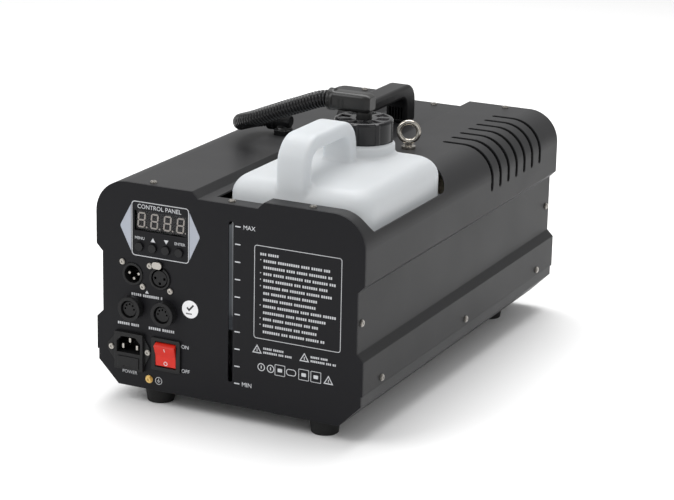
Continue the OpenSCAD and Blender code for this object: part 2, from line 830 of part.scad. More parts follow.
// A ring of points square to the route at step t
function route_ring(p, t, r, sides) = let (
    dir = unit(lerp3(p, min(t + 0.05, len(p) - 1)) - lerp3(p, max(t - 0.05, 0))),
    u = unit(cross([0, 0, 1], dir)), v = cross(dir, u), c = lerp3(p, t))
    [for (k = [0:sides - 1]) c + r * (cos(360 * k / sides) * u + sin(360 * k / sides) * v)];

module route_tube(p, r, sides, step) {
    n = floor((len(p) - 1) / step + 0.5);
    pts = [for (i = [0:n]) each route_ring(p, i * step, r, sides)];
    walls = [for (i = [0:n - 1], k = [0:sides - 1]) let (a = i * sides + k, b = i * sides + (k + 1) % sides)
        each [[a, b + sides, b], [a, a + sides, b + sides]]];
    ends = [[for (k = [0:sides - 1]) k], [for (k = [sides - 1:-1:0]) n * sides + k]];
    polyhedron(pts, concat(walls, ends));
}

module conduit() {
    at_case() color([0.09, 0.09, 0.09]) route_tube(conduit_route, conduit_r, 12, 0.5);
}

module conduit_gland() {
    at_case() color([0.08, 0.08, 0.08]) difference() {
        union() {
            translate([gland_x, gland_y, case_h + 0.05]) cylinder(r = 10.6, h = 5, $fn = 6);
            zcyl(gland_x, gland_y, case_h - 12, case_h + 4, 8);
            zcyl(gland_x, gland_y, case_h + 2, gland_z, 8);
            translate([gland_x, gland_y, gland_z]) sphere(r = 8);
            xcyl(gland_y, gland_z, -77, gland_x, 9.8);
        }
        xcyl(gland_y, gland_z, -78, gland_x - 7, conduit_r + gap);
        zcyl(gland_x, gland_y, case_h - 13, gland_z + 2, 3.4);
        xcyl(gland_y, gland_z, gland_x - 8, gland_x, 3.2);
    }
    at_case() color([0.08, 0.08, 0.08]) translate([gland_x, gland_y, case_h - sheet - 5.2])
        hex_nut(12, 8.05, 5);
}

// ---- heater, pump, lines and board ----

module heater_block() {
    at_case() color("silver") difference() {
        slab(-heater_x, heater_x, heater_y0, heater_y1, heater_z0, heater_z1);
        ycyl(0, nozzle_z, heater_y1 - 12, heater_y1 + 1, 5.05);
        ycyl(0, nozzle_z, heater_y0 - 1, heater_y0 + 10, 3.05);
        for (z = [74, 110]) ycyl(28, z, heater_y0 - 1, heater_y0 + 110, 5);
    }
}

module heater_wrap() {
    w = heater_x + gap;
    o = w + wrap_t;
    at_case() color([0.85, 0.82, 0.7]) difference() {
        slab(-o, o, heater_y0 - wrap_t, heater_y1 + wrap_t,
            heater_z0 - wrap_t - gap, heater_z1 + wrap_t + gap);
        slab(-w, w, heater_y0 - gap, heater_y1 + gap, heater_z0 - gap, heater_z1 + gap);
        ycyl(0, nozzle_z, heater_y1 - 5, heater_y1 + 20, 12);
        ycyl(0, nozzle_z, heater_y0 - 20, heater_y0 + 5, 6);
        ycyl(-28, nozzle_z, heater_y0 - 20, heater_y0 + 5, 10);
    }
}

module heater_brackets() {
    z1 = heater_z0 - wrap_t - gap - 0.1;
    t = 2;
    at_case() color("lightgray") for (y = [70, 160]) {
        slab(-50, 50, y - 12, y + 12, z1 - t, z1);
        for (x = [-50, 50 - t]) slab(x, x + t, y - 12, y + 12, sheet + 0.1, z1 - t + 0.1);
        slab(-50, 50, y - 12, y + 12, sheet + 0.1, sheet + t);
    }
}

module thermostat() {
    at_case() color("silver") {
        ycyl(-28, nozzle_z, heater_y0 - 7, heater_y0 - 0.1, 8);
        for (m = [-1, 1]) slab(-28 + m * 4 - 0.4, -28 + m * 4 + 0.4, heater_y0 - 16, heater_y0 - 6.9,
            nozzle_z - 3, nozzle_z + 3);
    }
}

module nozzle() {
    at_case() color("gold") difference() {
        union() {
            ycyl(0, nozzle_z, heater_y1 - 11, y_front + 4, 5);
            translate([0, heater_y1 + 20, nozzle_z]) rotate([90, 0, 0]) cylinder(r = 9.8, h = 9, $fn = 6);
            ycyl(0, nozzle_z, y_front + 1, y_front + end_reach, 8);
            ycyl(0, nozzle_z, y_front + 0.05, y_front + 2, 21);
        }
        ycyl(0, nozzle_z, heater_y1 - 12, y_front + 20, 1.5);
        ycyl(0, nozzle_z, y_front + end_reach - 4, y_front + 20, 4);
    }
}

module pump_body() {
    at_case() color([0.5, 0.5, 0.52]) difference() {
        union() {
            zcyl(pump_x, pump_y, 34, 96, 7);
            slab(pump_x - 17, pump_x + 17, pump_y - 14, pump_y + 14, 46, 84);
            zcyl(pump_x, pump_y, 22, 35, 4);
            zcyl(pump_x, pump_y, 95, 106, 4);
            slab(pump_x - 19, pump_x - 17, pump_y - 14, pump_y + 14, sheet + 0.1, 84);
            slab(pump_x - 19, pump_x + 19, pump_y - 14, pump_y + 14, sheet + 0.1, 3.6);
        }
        zcyl(pump_x, pump_y, 40, 92, 5);
        zcyl(pump_x, pump_y, 20, 110, 1.5);
    }
}

module pump_plunger() {
    at_case() color("silver") zcyl(pump_x, pump_y, 40.3, 76, 4.95);
}

module pump_spring() {
    at_case() color("silver") for (i = [0:4]) translate([pump_x, pump_y, 77 + i * 3.4])
        rotate_extrude() translate([3.9, 0]) circle(0.6, $fn = 16);
}

module fitting(p) translate(p) cube(2 * (line_r + 1), center = true);

module suction_line() {
    low = 14;
    at_case() color([0.8, 0.8, 0.8]) {
        zcyl(gland_x, gland_y, low, case_h - 12.1, line_r);
        ycyl(gland_x, low, gland_y, pump_y, line_r);
        xcyl(pump_y, low, pump_x, gland_x, line_r);
        zcyl(pump_x, pump_y, low, 21.9, line_r);
        for (p = [[gland_x, gland_y, low], [gland_x, pump_y, low], [pump_x, pump_y, low]]) fitting(p);
    }
}

module pressure_line() {
    y = 27;
    high = 142;
    at_case() color("peru") {
        zcyl(pump_x, pump_y, 106.1, high, line_r);
        ycyl(pump_x, high, y, pump_y, line_r);
        xcyl(y, high, pump_x, 0, line_r);
        zcyl(0, y, nozzle_z, high, line_r);
        ycyl(0, nozzle_z, y, heater_y0 + 8, line_r);
        for (p = [[pump_x, pump_y, high], [pump_x, y, high], [0, y, high], [0, y, nozzle_z]]) fitting(p);
    }
}

module main_pcb() {
    z = sheet + standoff_l + 0.02;
    t = 1.6;
    at_case() color("darkgreen") {
        slab(-112, -30, -170, -50, z, z + t);
        slab(-100, -62, -112, -74, z + t, z + t + 34);
        slab(-52, -34, -150, -130, z + t, z + t + 16);
        slab(-52, -34, -124, -104, z + t, z + t + 16);
        for (y = [-150, -134]) zcyl(-96, y, z + t, z + t + 22, 6);
        slab(-108, -58, -64, -54, z + t, z + t + 12);
    }
}

base_pan();
cover_sleeve();
rear_panel();
front_panel();
bottle_tray();
vent_mesh();
carry_handle();
handle_screws();
eyebolt();
eyebolt_nut();
cover_screws();
base_screws();
for (i = [0:3]) foot(i);
foot_screws();
display_window();
led_display();
display_pcb();
standoffs();
tact_switches();
for (i = [0:3]) button(i);
xlr_male_socket();
xlr_pins();
xlr_female_socket();
xlr_release_tab();
xlr_screws();
din_socket_left();
din_socket_right();
iec_inlet();
iec_pins();
iec_screws();
fuse_drawer();
fuse();
switch_frame();
rocker();
earth_screw();
bottle();
screw_cap();
cap_seal();
hose_elbow();
pickup_tube();
inlet_filter();
conduit();
conduit_gland();
heater_block();
heater_wrap();
heater_brackets();
thermostat();
nozzle();
pump_body();
pump_plunger();
pump_spring();
suction_line();
pressure_line();
main_pcb();
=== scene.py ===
"""Looks of a fog machine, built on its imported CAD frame.

Metres. +X is to the right seen from the rear panel, +Y runs to the nozzle and +Z is up.
"""

import json
import math

import bmesh
import bpy
from mathutils import Matrix, Vector


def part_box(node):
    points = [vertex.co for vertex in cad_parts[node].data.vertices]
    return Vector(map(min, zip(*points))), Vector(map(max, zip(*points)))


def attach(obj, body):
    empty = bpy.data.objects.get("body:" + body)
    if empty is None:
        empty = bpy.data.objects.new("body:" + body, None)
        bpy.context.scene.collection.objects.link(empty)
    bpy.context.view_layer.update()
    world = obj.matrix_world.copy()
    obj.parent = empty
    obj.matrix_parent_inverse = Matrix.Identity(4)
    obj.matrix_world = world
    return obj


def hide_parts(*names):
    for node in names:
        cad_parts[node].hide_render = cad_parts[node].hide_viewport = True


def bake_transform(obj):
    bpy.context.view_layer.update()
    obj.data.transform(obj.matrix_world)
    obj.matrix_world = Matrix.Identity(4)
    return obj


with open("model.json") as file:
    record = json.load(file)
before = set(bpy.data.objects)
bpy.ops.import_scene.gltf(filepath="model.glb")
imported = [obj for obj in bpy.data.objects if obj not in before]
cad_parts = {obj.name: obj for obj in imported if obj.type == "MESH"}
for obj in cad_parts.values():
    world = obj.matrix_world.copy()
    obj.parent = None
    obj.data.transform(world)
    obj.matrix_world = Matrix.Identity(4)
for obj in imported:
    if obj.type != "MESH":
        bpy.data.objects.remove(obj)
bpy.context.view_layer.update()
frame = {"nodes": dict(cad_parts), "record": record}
NODES = frame["nodes"]
MM = 0.001
TAU = 2 * math.pi


# ---- camera, light and floor ----

# Azimuth, elevation and roll in degrees, lens in mm, then the point aimed at and the distance to it
CAMERA_ANGLES = (25.946, 16.7, 1.156)
CAMERA_LENS = 125.04
CAMERA_TARGET = (-0.0025, 0, 0.0972)
CAMERA_DISTANCE = 2.194
FLOOR_HALF = 9


def make_camera():
    """A long lens from behind the rear panel's right corner, a little above the machine."""
    azimuth, elevation, roll = (math.radians(a) for a in CAMERA_ANGLES)
    back = Vector(
        (
            math.sin(azimuth) * math.cos(elevation),
            -math.cos(azimuth) * math.cos(elevation),
            math.sin(elevation),
        )
    )
    right = Vector((0, 0, 1)).cross(back).normalized()
    up = back.cross(right)
    turned_right = math.cos(roll) * right + math.sin(roll) * up
    turned_up = -math.sin(roll) * right + math.cos(roll) * up
    data = bpy.data.cameras.new("camera")
    data.sensor_width = 36
    data.lens = CAMERA_LENS
    data.clip_start = 0.05
    cam = bpy.data.objects.new("camera", data)
    bpy.context.scene.collection.objects.link(cam)
    place = Vector(CAMERA_TARGET) + CAMERA_DISTANCE * back
    rows = Matrix((turned_right, turned_up, back)).transposed().to_4x4()
    cam.matrix_world = Matrix.Translation(place) @ rows
    bpy.context.scene.camera = cam


def make_area_light(name, place, target, size, power):
    data = bpy.data.lights.new(name, "AREA")
    data.shape = "RECTANGLE"
    data.size, data.size_y = size
    data.energy = power
    lamp = bpy.data.objects.new(name, data)
    bpy.context.scene.collection.objects.link(lamp)
    lamp.location = place
    aim = Vector(target) - Vector(place)
    lamp.rotation_euler = aim.to_track_quat("-Z", "Y").to_euler()


def make_lights():
    world = bpy.data.worlds.new("studio")
    world.use_nodes = True
    world.node_tree.nodes["Background"].inputs["Color"].default_value = (1, 1, 1, 1)
    world.node_tree.nodes["Background"].inputs["Strength"].default_value = 0.6
    bpy.context.scene.world = world
    bpy.context.scene.view_settings.view_transform = "Standard"
    make_area_light("key", (-1.0, -1.2, 1.5), (0, 0, 0.1), (1.2, 1.0), 15)
    make_area_light("top", (-0.2, 0.5, 1.9), (0, 0, 0.1), (1.6, 1.6), 40)
    make_area_light("side", (1.7, -1.0, 0.7), (0, -0.15, 0.12), (0.8, 1.0), 2.4)


def make_floor():
    mesh = bpy.data.meshes.new("floor")
    s = FLOOR_HALF
    mesh.from_pydata(
        [(-s, -s, 0), (s, -s, 0), (s, s, 0), (-s, s, 0)], [], [(0, 1, 2, 3)]
    )
    obj = bpy.data.objects.new("floor", mesh)
    bpy.context.scene.collection.objects.link(obj)
    mat = bpy.data.materials.new("floor")
    mat.use_nodes = True
    shader = mat.node_tree.nodes["Principled BSDF"]
    shader.inputs["Base Color"].default_value = (0.93, 0.93, 0.93, 1)
    shader.inputs["Roughness"].default_value = 0.7
    mesh.materials.append(mat)


# ---- materials ----


def noise(nodes, links, coords, scale, detail=3.0):
    tex = nodes.new("ShaderNodeTexNoise")
    tex.inputs["Scale"].default_value = scale
    tex.inputs["Detail"].default_value = detail
    links.new(coords.outputs["Object"], tex.inputs["Vector"])
    return tex


def material(
    name,
    color,
    rough,
    metallic=0.0,
    mottle=0.08,
    mottle_scale=18,
    grain=0.1,
    grain_scale=900,
    grain_depth=0.0001,
    edge=0.0004,
    scuff=0.0,
    sockets=(),
):
    """A painted, moulded or plated surface.

    Its colour and roughness are clouded, and it has a fine grain, soft edges and worn edges.
    """
    mat = bpy.data.materials.new(name)
    mat.use_nodes = True
    tree = mat.node_tree
    nodes, links = tree.nodes, tree.links
    shader = nodes["Principled BSDF"]
    shader.inputs["Metallic"].default_value = metallic
    for socket, value in sockets:
        shader.inputs[socket].default_value = value
    coords = nodes.new("ShaderNodeTexCoord")
    cloud = noise(nodes, links, coords, mottle_scale)
    fine = noise(nodes, links, coords, grain_scale, 2.0)

    tint = nodes.new("ShaderNodeMix")
    tint.data_type = "RGBA"
    tint.inputs["A"].default_value = (*[c * (1 - mottle) for c in color[:3]], 1)
    tint.inputs["B"].default_value = (*[min(1, c * (1 + mottle)) for c in color[:3]], 1)
    links.new(cloud.outputs["Fac"], tint.inputs["Factor"])
    last = tint.outputs["Result"]

    bevel = nodes.new("ShaderNodeBevel")
    bevel.samples = 4
    bevel.inputs["Radius"].default_value = edge
    if scuff > 0:
        last = worn_edges(nodes, links, bevel, last, color, scuff)
    links.new(last, shader.inputs["Base Color"])

    spread = nodes.new("ShaderNodeMapRange")
    spread.inputs["To Min"].default_value = max(0.02, rough * 0.85)
    spread.inputs["To Max"].default_value = min(1, rough * 1.15)
    links.new(cloud.outputs["Fac"], spread.inputs["Value"])
    links.new(spread.outputs["Result"], shader.inputs["Roughness"])

    bump = nodes.new("ShaderNodeBump")
    bump.inputs["Strength"].default_value = grain
    bump.inputs["Distance"].default_value = grain_depth
    links.new(fine.outputs["Fac"], bump.inputs["Height"])
    links.new(bevel.outputs["Normal"], bump.inputs["Normal"])
    links.new(bump.outputs["Normal"], shader.inputs["Normal"])
    return mat


def worn_edges(nodes, links, bevel, last, color, scuff):
    """Lightens the paint where the rounded normal leaves the true one, which is along sharp edges."""
    geometry = nodes.new("ShaderNodeNewGeometry")
    dot = nodes.new("ShaderNodeVectorMath")
    dot.operation = "DOT_PRODUCT"
    links.new(bevel.outputs["Normal"], dot.inputs[0])
    links.new(geometry.outputs["Normal"], dot.inputs[1])
    amount = nodes.new("ShaderNodeMapRange")
    amount.inputs["From Min"].default_value = 0.99
    amount.inputs["From Max"].default_value = 0.8
    amount.inputs["To Max"].default_value = scuff
    links.new(dot.outputs["Value"], amount.inputs["Value"])
    wear = nodes.new("ShaderNodeMix")
    wear.data_type = "RGBA"
    wear.inputs["B"].default_value = (*[min(1, c * 2.6 + 0.05) for c in color[:3]], 1)
    links.new(amount.outputs["Result"], wear.inputs["Factor"])
    links.new(last, wear.inputs["A"])
    return wear.outputs["Result"]


def stretched(mat, axis, scale):
    """Draws a material's fine grain out along one axis, as brushing or a blow-mould's flow does."""
    tree = mat.node_tree
    mapping = tree.nodes.new("ShaderNodeMapping")
    mapping.inputs["Scale"].default_value = [
        scale if i == axis else 1 for i in range(3)
    ]
    coords = next(n for n in tree.nodes if n.type == "TEX_COORD")
    tree.links.new(coords.outputs["Object"], mapping.inputs["Vector"])
    fine = [n for n in tree.nodes if n.type == "TEX_NOISE"][1]
    tree.links.new(mapping.outputs["Vector"], fine.inputs["Vector"])
    return mat


def painted_glow_by_height(mat):
    """Painted light on the bottle: emission that makes it glow, most near the top and little far below."""
    tree = mat.node_tree
    coords = next(n for n in tree.nodes if n.type == "TEX_COORD")
    split = tree.nodes.new("ShaderNodeSeparateXYZ")
    tree.links.new(coords.outputs["Generated"], split.inputs["Vector"])
    fade = tree.nodes.new("ShaderNodeMapRange")
    fade.interpolation_type = "SMOOTHSTEP"
    fade.inputs["From Min"].default_value = 0.3
    fade.inputs["From Max"].default_value = 0.72
    fade.inputs["To Min"].default_value = 0.07
    fade.inputs["To Max"].default_value = 0.14
    tree.links.new(split.outputs["Z"], fade.inputs["Value"])
    tree.links.new(fade.outputs["Result"], tree.nodes["Principled BSDF"].inputs["Emission Strength"])


# Surfaces that reflect less than the shader's own default
SHEEN = {
    "powder_coat": 0.16, "pan_coat": 0.26, "panel_black": 0.18, "handle_black": 0.2, "foot_rubber": 0.2,
    "switch_black": 0.2, "socket_black": 0.2, "switch_frame": 0.2, "mesh_black": 0.2,
    "hose_black": 0.34, "cap_black": 0.34, "elbow_grey": 0.34,
}


def make_materials():
    m = material
    nickel = (("Specular IOR Level", 0.6),)
    made = {
        "powder_coat": m(
            "powder_coat", (0.022, 0.022, 0.023), 0.42, grain=0.35, grain_scale=1400,
            mottle=0.06, edge=0.0012, scuff=0.15,
        ),
        "pan_coat": m(
            "pan_coat", (0.040, 0.040, 0.0415), 0.48, grain=0.35, grain_scale=1400,
            mottle=0.06, edge=0.0012, scuff=0.15,
        ),
        "panel_black": m(
            "panel_black", (0.0062, 0.0062, 0.0078), 0.5, grain=0.4, grain_scale=1300,
            mottle=0.1, edge=0.0007, scuff=0.35,
        ),
        "zinc_steel": stretched(
            m("zinc_steel", (0.46, 0.47, 0.49), 0.36, metallic=1, mottle=0.14, grain=0.2),
            1, 0.05,
        ),
        # partly the vent mesh's own dark colour, partly painted shade for the recess behind the vents
        "mesh_black": m("mesh_black", (0.005, 0.005, 0.005), 0.5),
        "handle_black": m(
            "handle_black", (0.008, 0.008, 0.0085), 0.36, grain=0.5, grain_scale=1100, edge=0.001
        ),
        "elbow_grey": m("elbow_grey", (0.015, 0.0148, 0.0145), 0.3, grain=0.4, grain_scale=1000, edge=0.001),
        "nickel": m(
            "nickel", (0.40, 0.38, 0.35), 0.3, metallic=1, mottle=0.12, mottle_scale=140,
            edge=0.0003, sockets=nickel,
        ),
        "eye_chrome": m(
            "eye_chrome", (0.40, 0.375, 0.335), 0.2, metallic=1, mottle=0.16, mottle_scale=90,
            grain=0.2, grain_scale=500, edge=0.0003,
        ),
        "foot_rubber": m("foot_rubber", (0.012, 0.012, 0.012), 0.62, grain=0.6, grain_scale=700),
        "window_smoke": m(
            "window_smoke", (0.62, 0.62, 0.64), 0.03, mottle=0.03, grain=0.01,
            sockets=(("Transmission Weight", 1.0), ("IOR", 1.2)),
        ),
        "display_black": m("display_black", (0.012, 0.012, 0.012), 0.35, grain=0.15),
        "board_green": m(
            "board_green", (0.012, 0.10, 0.04), 0.34, mottle=0.22, mottle_scale=120, grain=0.25
        ),
        "brass": m(
            "brass", (0.66, 0.46, 0.17), 0.28, metallic=1, mottle=0.14, mottle_scale=160
        ),
        "switch_black": m("switch_black", (0.012, 0.012, 0.013), 0.3, grain=0.15, edge=0.0005),
        "socket_black": m(
            "socket_black", (0.011, 0.011, 0.0115), 0.34, grain=0.3, grain_scale=1200,
            edge=0.0006, scuff=0.15,
        ),
        "fuse_glass": m(
            "fuse_glass", (0.82, 0.87, 0.87), 0.08,
            sockets=(("Transmission Weight", 0.7), ("IOR", 1.45)),
        ),
        "switch_red": m(
            "switch_red", (0.64, 0.02, 0.009), 0.34, mottle=0.06, grain=0.08, edge=0.0008,
            sockets=(("Subsurface Weight", 0.1), ("Specular IOR Level", 0.3)),
        ),
        "switch_frame": m("switch_frame", (0.012, 0.012, 0.012), 0.3, grain=0.2, edge=0.0007),
        "bottle_hdpe": m(
            "bottle_hdpe", (0.41, 0.445, 0.48), 0.5, mottle=0.035, mottle_scale=9, grain=0.25,
            grain_scale=260, grain_depth=0.0003, edge=0.002,
            sockets=(
                ("Subsurface Weight", 0.8),
                ("Subsurface Radius", (0.9, 1.0, 1.1)),
                ("Subsurface Scale", 0.02),
                ("Transmission Weight", 0.15),
                # emission colour of the bottle's painted glow
                ("Emission Color", (1.0, 0.985, 0.96, 1)),
            ),
        ),
        "cap_black": m(
            "cap_black", (0.007, 0.007, 0.008), 0.2, grain=0.15, grain_scale=700, edge=0.0006
        ),
        "seal_foam": m("seal_foam", (0.82, 0.82, 0.8), 0.8, grain=0.5, grain_scale=900),
        "hose_black": m(
            "hose_black", (0.008, 0.008, 0.0085), 0.22, grain=0.25, grain_scale=900, edge=0.0005
        ),
        "tube_clear": m(
            "tube_clear", (0.78, 0.8, 0.8), 0.22,
            sockets=(("Subsurface Weight", 0.4), ("Subsurface Scale", 0.002)),
        ),
        "filter_grey": m("filter_grey", (0.42, 0.42, 0.42), 0.75, grain=0.7, grain_scale=1500),
        "heater_alu": m(
            "heater_alu", (0.60, 0.60, 0.61), 0.45, metallic=1, mottle=0.12, grain=0.6,
            grain_scale=420, grain_depth=0.0003,
        ),
        "heater_wool": stretched(
            m("heater_wool", (0.62, 0.56, 0.42), 0.95, mottle=0.25, mottle_scale=60, grain=1,
              grain_scale=380, grain_depth=0.0012),
            1, 0.2,
        ),
        "plunger_steel": m("plunger_steel", (0.52, 0.52, 0.53), 0.25, metallic=1),
        "copper": m("copper", (0.66, 0.32, 0.18), 0.3, metallic=1, mottle=0.2, mottle_scale=70),
        "print_white": m("print_white", (0.55, 0.56, 0.58), 0.6, mottle=0.08, mottle_scale=400),
        "print_silver": m(
            "print_silver", (0.36, 0.385, 0.44), 0.42, mottle=0.05, mottle_scale=60
        ),
        "sticker_white": m("sticker_white", (0.80, 0.80, 0.81), 0.5, mottle=0.03, grain=0.1),
        # painted glow: emission makes the unlit segments read lighter
        "segment_grey": m(
            "segment_grey", (0.62, 0.57, 0.50), 0.5, mottle=0.05, grain=0.05,
            sockets=(("Emission Color", (0.62, 0.57, 0.50, 1)), ("Emission Strength", 0.35)),
        ),
        # painted shade: near black, for the shaded insides of the elbow's slots
        "slot_dark": m("slot_dark", (0.003, 0.003, 0.003), 0.6),
    }
    # painted glow: the bottle's emission, brighter towards its top
    painted_glow_by_height(made["bottle_hdpe"])
    for name, level in SHEEN.items():
        made[name].node_tree.nodes["Principled BSDF"].inputs["Specular IOR Level"].default_value = level
    return made


def dress_cad_nodes(materials):
    """Gives each CAD node the procedural material of its slot in the record."""
    for part in frame["record"]["subparts"]:
        data = NODES[part["node"]].data
        data.materials.clear()
        data.materials.append(materials[part["material_slot"]])


# ---- mesh helpers ----


def add(name, bm, mat, body, smooth=40):
    """Makes a piece of a bmesh, shades it smooth below an angle and lets it ride on a body."""
    bmesh.ops.recalc_face_normals(bm, faces=bm.faces)
    for face in bm.faces:
        face.smooth = True
    for edge in bm.edges:
        sharp = len(edge.link_faces) == 2 and edge.calc_face_angle(0) > math.radians(smooth)
        edge.smooth = not sharp
    mesh = bpy.data.meshes.new(name)
    bm.to_mesh(mesh)
    bm.free()
    mesh.materials.append(mat)
    obj = bpy.data.objects.new(name, mesh)
    bpy.context.scene.collection.objects.link(obj)
    if body:
        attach(obj, body)
    return obj


def apply_modifiers(obj):
    graph = bpy.context.evaluated_depsgraph_get()
    mesh = bpy.data.meshes.new_from_object(obj.evaluated_get(graph))
    obj.modifiers.clear()
    obj.data = mesh


def bridge(bm, ring_a, ring_b):
    n = len(ring_a)
    for i in range(n):
        j = (i + 1) % n
        bm.faces.new((ring_a[i], ring_a[j], ring_b[j], ring_b[i]))


def skin(bm, rings, closed=False, caps=True):
    """Joins rings of points into a tube, with flat ends unless it is closed on itself."""
    made = [[bm.verts.new(p) for p in ring] for ring in rings]
    for a, b in zip(made, made[1:]):
        bridge(bm, a, b)
    if closed:
        bridge(bm, made[-1], made[0])
    elif caps:
        bm.faces.new(made[0][::-1])
        bm.faces.new(made[-1])
    return made


def lathe(bm, profile, centre, axis="z", steps=72, shape=None):
    """Turns a closed profile of (radius, height) points about an axis.

    shape can change each point's radius with its angle.
    """
    cx, cy, cz = centre
    rings = []
    for k in range(steps):
        a = TAU * k / steps
        ring = []
        for r, h in profile:
            if shape:
                r = shape(r, h, a)
            u, v = r * math.cos(a), r * math.sin(a)
            if axis == "z":
                ring.append((cx + u, cy + v, cz + h))
            elif axis == "x":
                ring.append((cx + h, cy + u, cz + v))
            else:
                ring.append((cx + u, cy - h, cz + v))
        rings.append(ring)
    skin(bm, rings, closed=True)


def arc(cx, cy, r, a0, a1, n):
    """Points on an arc, with its angles in degrees."""
    out = []
    for i in range(n + 1):
        a = math.radians(a0 + (a1 - a0) * i / n)
        out.append((cx + r * math.cos(a), cy + r * math.sin(a)))
    return out


def round_rect(x0, x1, y0, y1, r, n=6):
    return (
        arc(x1 - r, y1 - r, r, 0, 90, n)
        + arc(x0 + r, y1 - r, r, 90, 180, n)
        + arc(x0 + r, y0 + r, r, 180, 270, n)
        + arc(x1 - r, y0 + r, r, 270, 360, n)
    )


def smooth_path(points, step):
    """A Catmull-Rom curve through points, cut into stretches of about one step."""
    pts = [Vector(p) for p in points]
    out = []
    for i in range(len(pts) - 1):
        a, b, c, d = (
            pts[max(i - 1, 0)], pts[i], pts[i + 1], pts[min(i + 2, len(pts) - 1)]
        )
        n = max(1, round((c - b).length / step))
        for k in range(n):
            t = k / n
            out.append(
                0.5 * (2 * b + (c - a) * t + (2 * a - 5 * b + 4 * c - d) * t * t
                       + (3 * b - a - 3 * c + d) * t ** 3)
            )
    out.append(pts[-1])
    return out


def frames_along(path, up=Vector((0, 0, 1))):
    """At each point of a path: the point, and two directions square to the path."""
    out = []
    for i, p in enumerate(path):
        d = (path[min(i + 1, len(path) - 1)] - path[max(i - 1, 0)]).normalized()
        u = up.cross(d).normalized()
        out.append((p, u, d.cross(u)))
    return out


def evenly(path, count):
    """Moves a path's points to equal distances along it."""
    lengths = [0.0]
    for a, b in zip(path, path[1:]):
        lengths.append(lengths[-1] + (b - a).length)
    out, k = [], 0
    for i in range(count):
        want = lengths[-1] * i / (count - 1)
        while k < len(path) - 2 and lengths[k + 1] < want:
            k += 1
        span = max(lengths[k + 1] - lengths[k], 1e-9)
        out.append(path[k].lerp(path[k + 1], min(1, (want - lengths[k]) / span)))
    return out, lengths[-1]


# ---- bottle, cap and hose ----


def bottle_shell(bm, low, high, r_side, r_top, r_foot, top):
    """The bottle's body: rounded-rectangle rings whose inset follows the foot's and the shoulder's arcs."""
    levels = [(r_foot * (1 - math.sin(a)), low.z + r_foot * (1 - math.cos(a)))
              for a in (math.pi / 2 * k / 4 for k in range(5))]
    levels += [(0, low.z + (top - low.z) * f) for f in (0.3, 0.55)]
    levels += [(r_top * (1 - math.cos(a)), top - r_top * (1 - math.sin(a)))
               for a in (math.pi / 2 * k / 8 for k in range(9))]
    levels += [(r_top + 8 * MM, top + 0.8 * MM), (r_top + 18 * MM, top + 1.6 * MM)]
    rings = []
    for inset, z in levels:
        r = max(r_side - inset * 0.55, 6 * MM)
        ring = round_rect(low.x + inset, high.x - inset, low.y + inset, high.y - inset, r, 8)
        rings.append([(x, y, z) for x, y in ring])
    skin(bm, rings)


def strap_shape(bm, low, high, x0, x1, z_root):
    """The bottle's handle: a bar that leaves the front face, arches over and comes down on the top."""
    thick = 14 * MM
    near, far = low.y + 0.8 * MM + thick / 2, low.y + 94.5 * MM
    crown = high.z - thick / 2
    bend = 19 * MM
    line = [(near + 5 * MM, z_root), (near + 0.5 * MM, z_root + 14 * MM),
            (near, z_root + 24 * MM), (near, crown - bend)]
    line += arc(near + bend, crown - bend, bend, 180, 90, 8)[1:]
    line += arc(far - bend, crown - bend, bend, 90, 0, 8)
    line += [(far, crown - bend - 10 * MM), (far + 0.5 * MM, z_root + 12 * MM)]
    path = [Vector(((x0 + x1) / 2, y, z)) for y, z in line]
    half = (x1 - x0) / 2
    rings = []
    for p, u, _ in frames_along(path, up=Vector((1, 0, 0))):
        ring = round_rect(-half, half, -thick / 2, thick / 2, 3.2 * MM, 4)
        rings.append([p + Vector((1, 0, 0)) * a + u * b for a, b in ring])
    skin(bm, rings)


def make_bottle(materials):
    """A blow-moulded bottle: body, strap and neck melted together, then hollowed."""
    low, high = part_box("bottle")
    cap_low, cap_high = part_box("screw_cap")
    centre = (cap_low + cap_high) / 2
    top = high.z - 40.5 * MM
    bm = bmesh.new()
    bottle_shell(bm, low, high, 21 * MM, 17 * MM, 10 * MM, top)
    strap_shape(bm, low, high, low.x + 49.2 * MM, low.x + 77.6 * MM, top - 24 * MM)
    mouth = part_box("hose_elbow")[0].z - 0.4 * MM
    neck = [(0.0, -20 * MM), (30 * MM, -20 * MM), (30.5 * MM, 0), (28.4 * MM, 2.5 * MM),
            (28.2 * MM, cap_low.z - 1.6 * MM - top), (25 * MM, cap_low.z - 1.4 * MM - top),
            (24.6 * MM, mouth - 8 * MM - top), (24.6 * MM, mouth - top), (0.0, mouth - top)]
    solid_lathe(bm, neck, (centre.x, centre.y, top))
    obj = add("bottle_shell", bm, materials["bottle_hdpe"], None)
    melt(obj, 1.5 * MM, 5)
    open_and_hollow(obj, mouth - 1.2 * MM, 1.9 * MM, low)
    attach(obj, "bottle_unit")
    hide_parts("bottle")


def solid_lathe(bm, profile, centre, steps=72):
    """Turns a profile that starts and ends on the axis, and closes it there."""
    rings = []
    for r, h in profile[1:-1]:
        rings.append([(centre[0] + r * math.cos(TAU * k / steps),
                       centre[1] + r * math.sin(TAU * k / steps), centre[2] + h)
                      for k in range(steps)])
    skin(bm, rings)


def melt(obj, voxel, rounds):
    remesh = obj.modifiers.new("melt", "REMESH")
    remesh.mode = "VOXEL"
    remesh.voxel_size = voxel
    soften = obj.modifiers.new("soften", "SMOOTH")
    soften.factor = 0.5
    soften.iterations = rounds
    apply_modifiers(obj)


def open_and_hollow(obj, mouth, wall, low):
    """Cuts the mouth open and gives the skin a wall."""
    bm = bmesh.new()
    bm.from_mesh(obj.data)
    gone = [f for f in bm.faces if f.calc_center_median().z > mouth
            and f.calc_center_median().y > low.y + 105 * MM]
    bmesh.ops.delete(bm, geom=gone, context="FACES")
    for face in bm.faces:
        face.smooth = True
    bm.to_mesh(obj.data)
    bm.free()
    thick = obj.modifiers.new("wall", "SOLIDIFY")
    thick.thickness = wall
    thick.offset = -1
    apply_modifiers(obj)


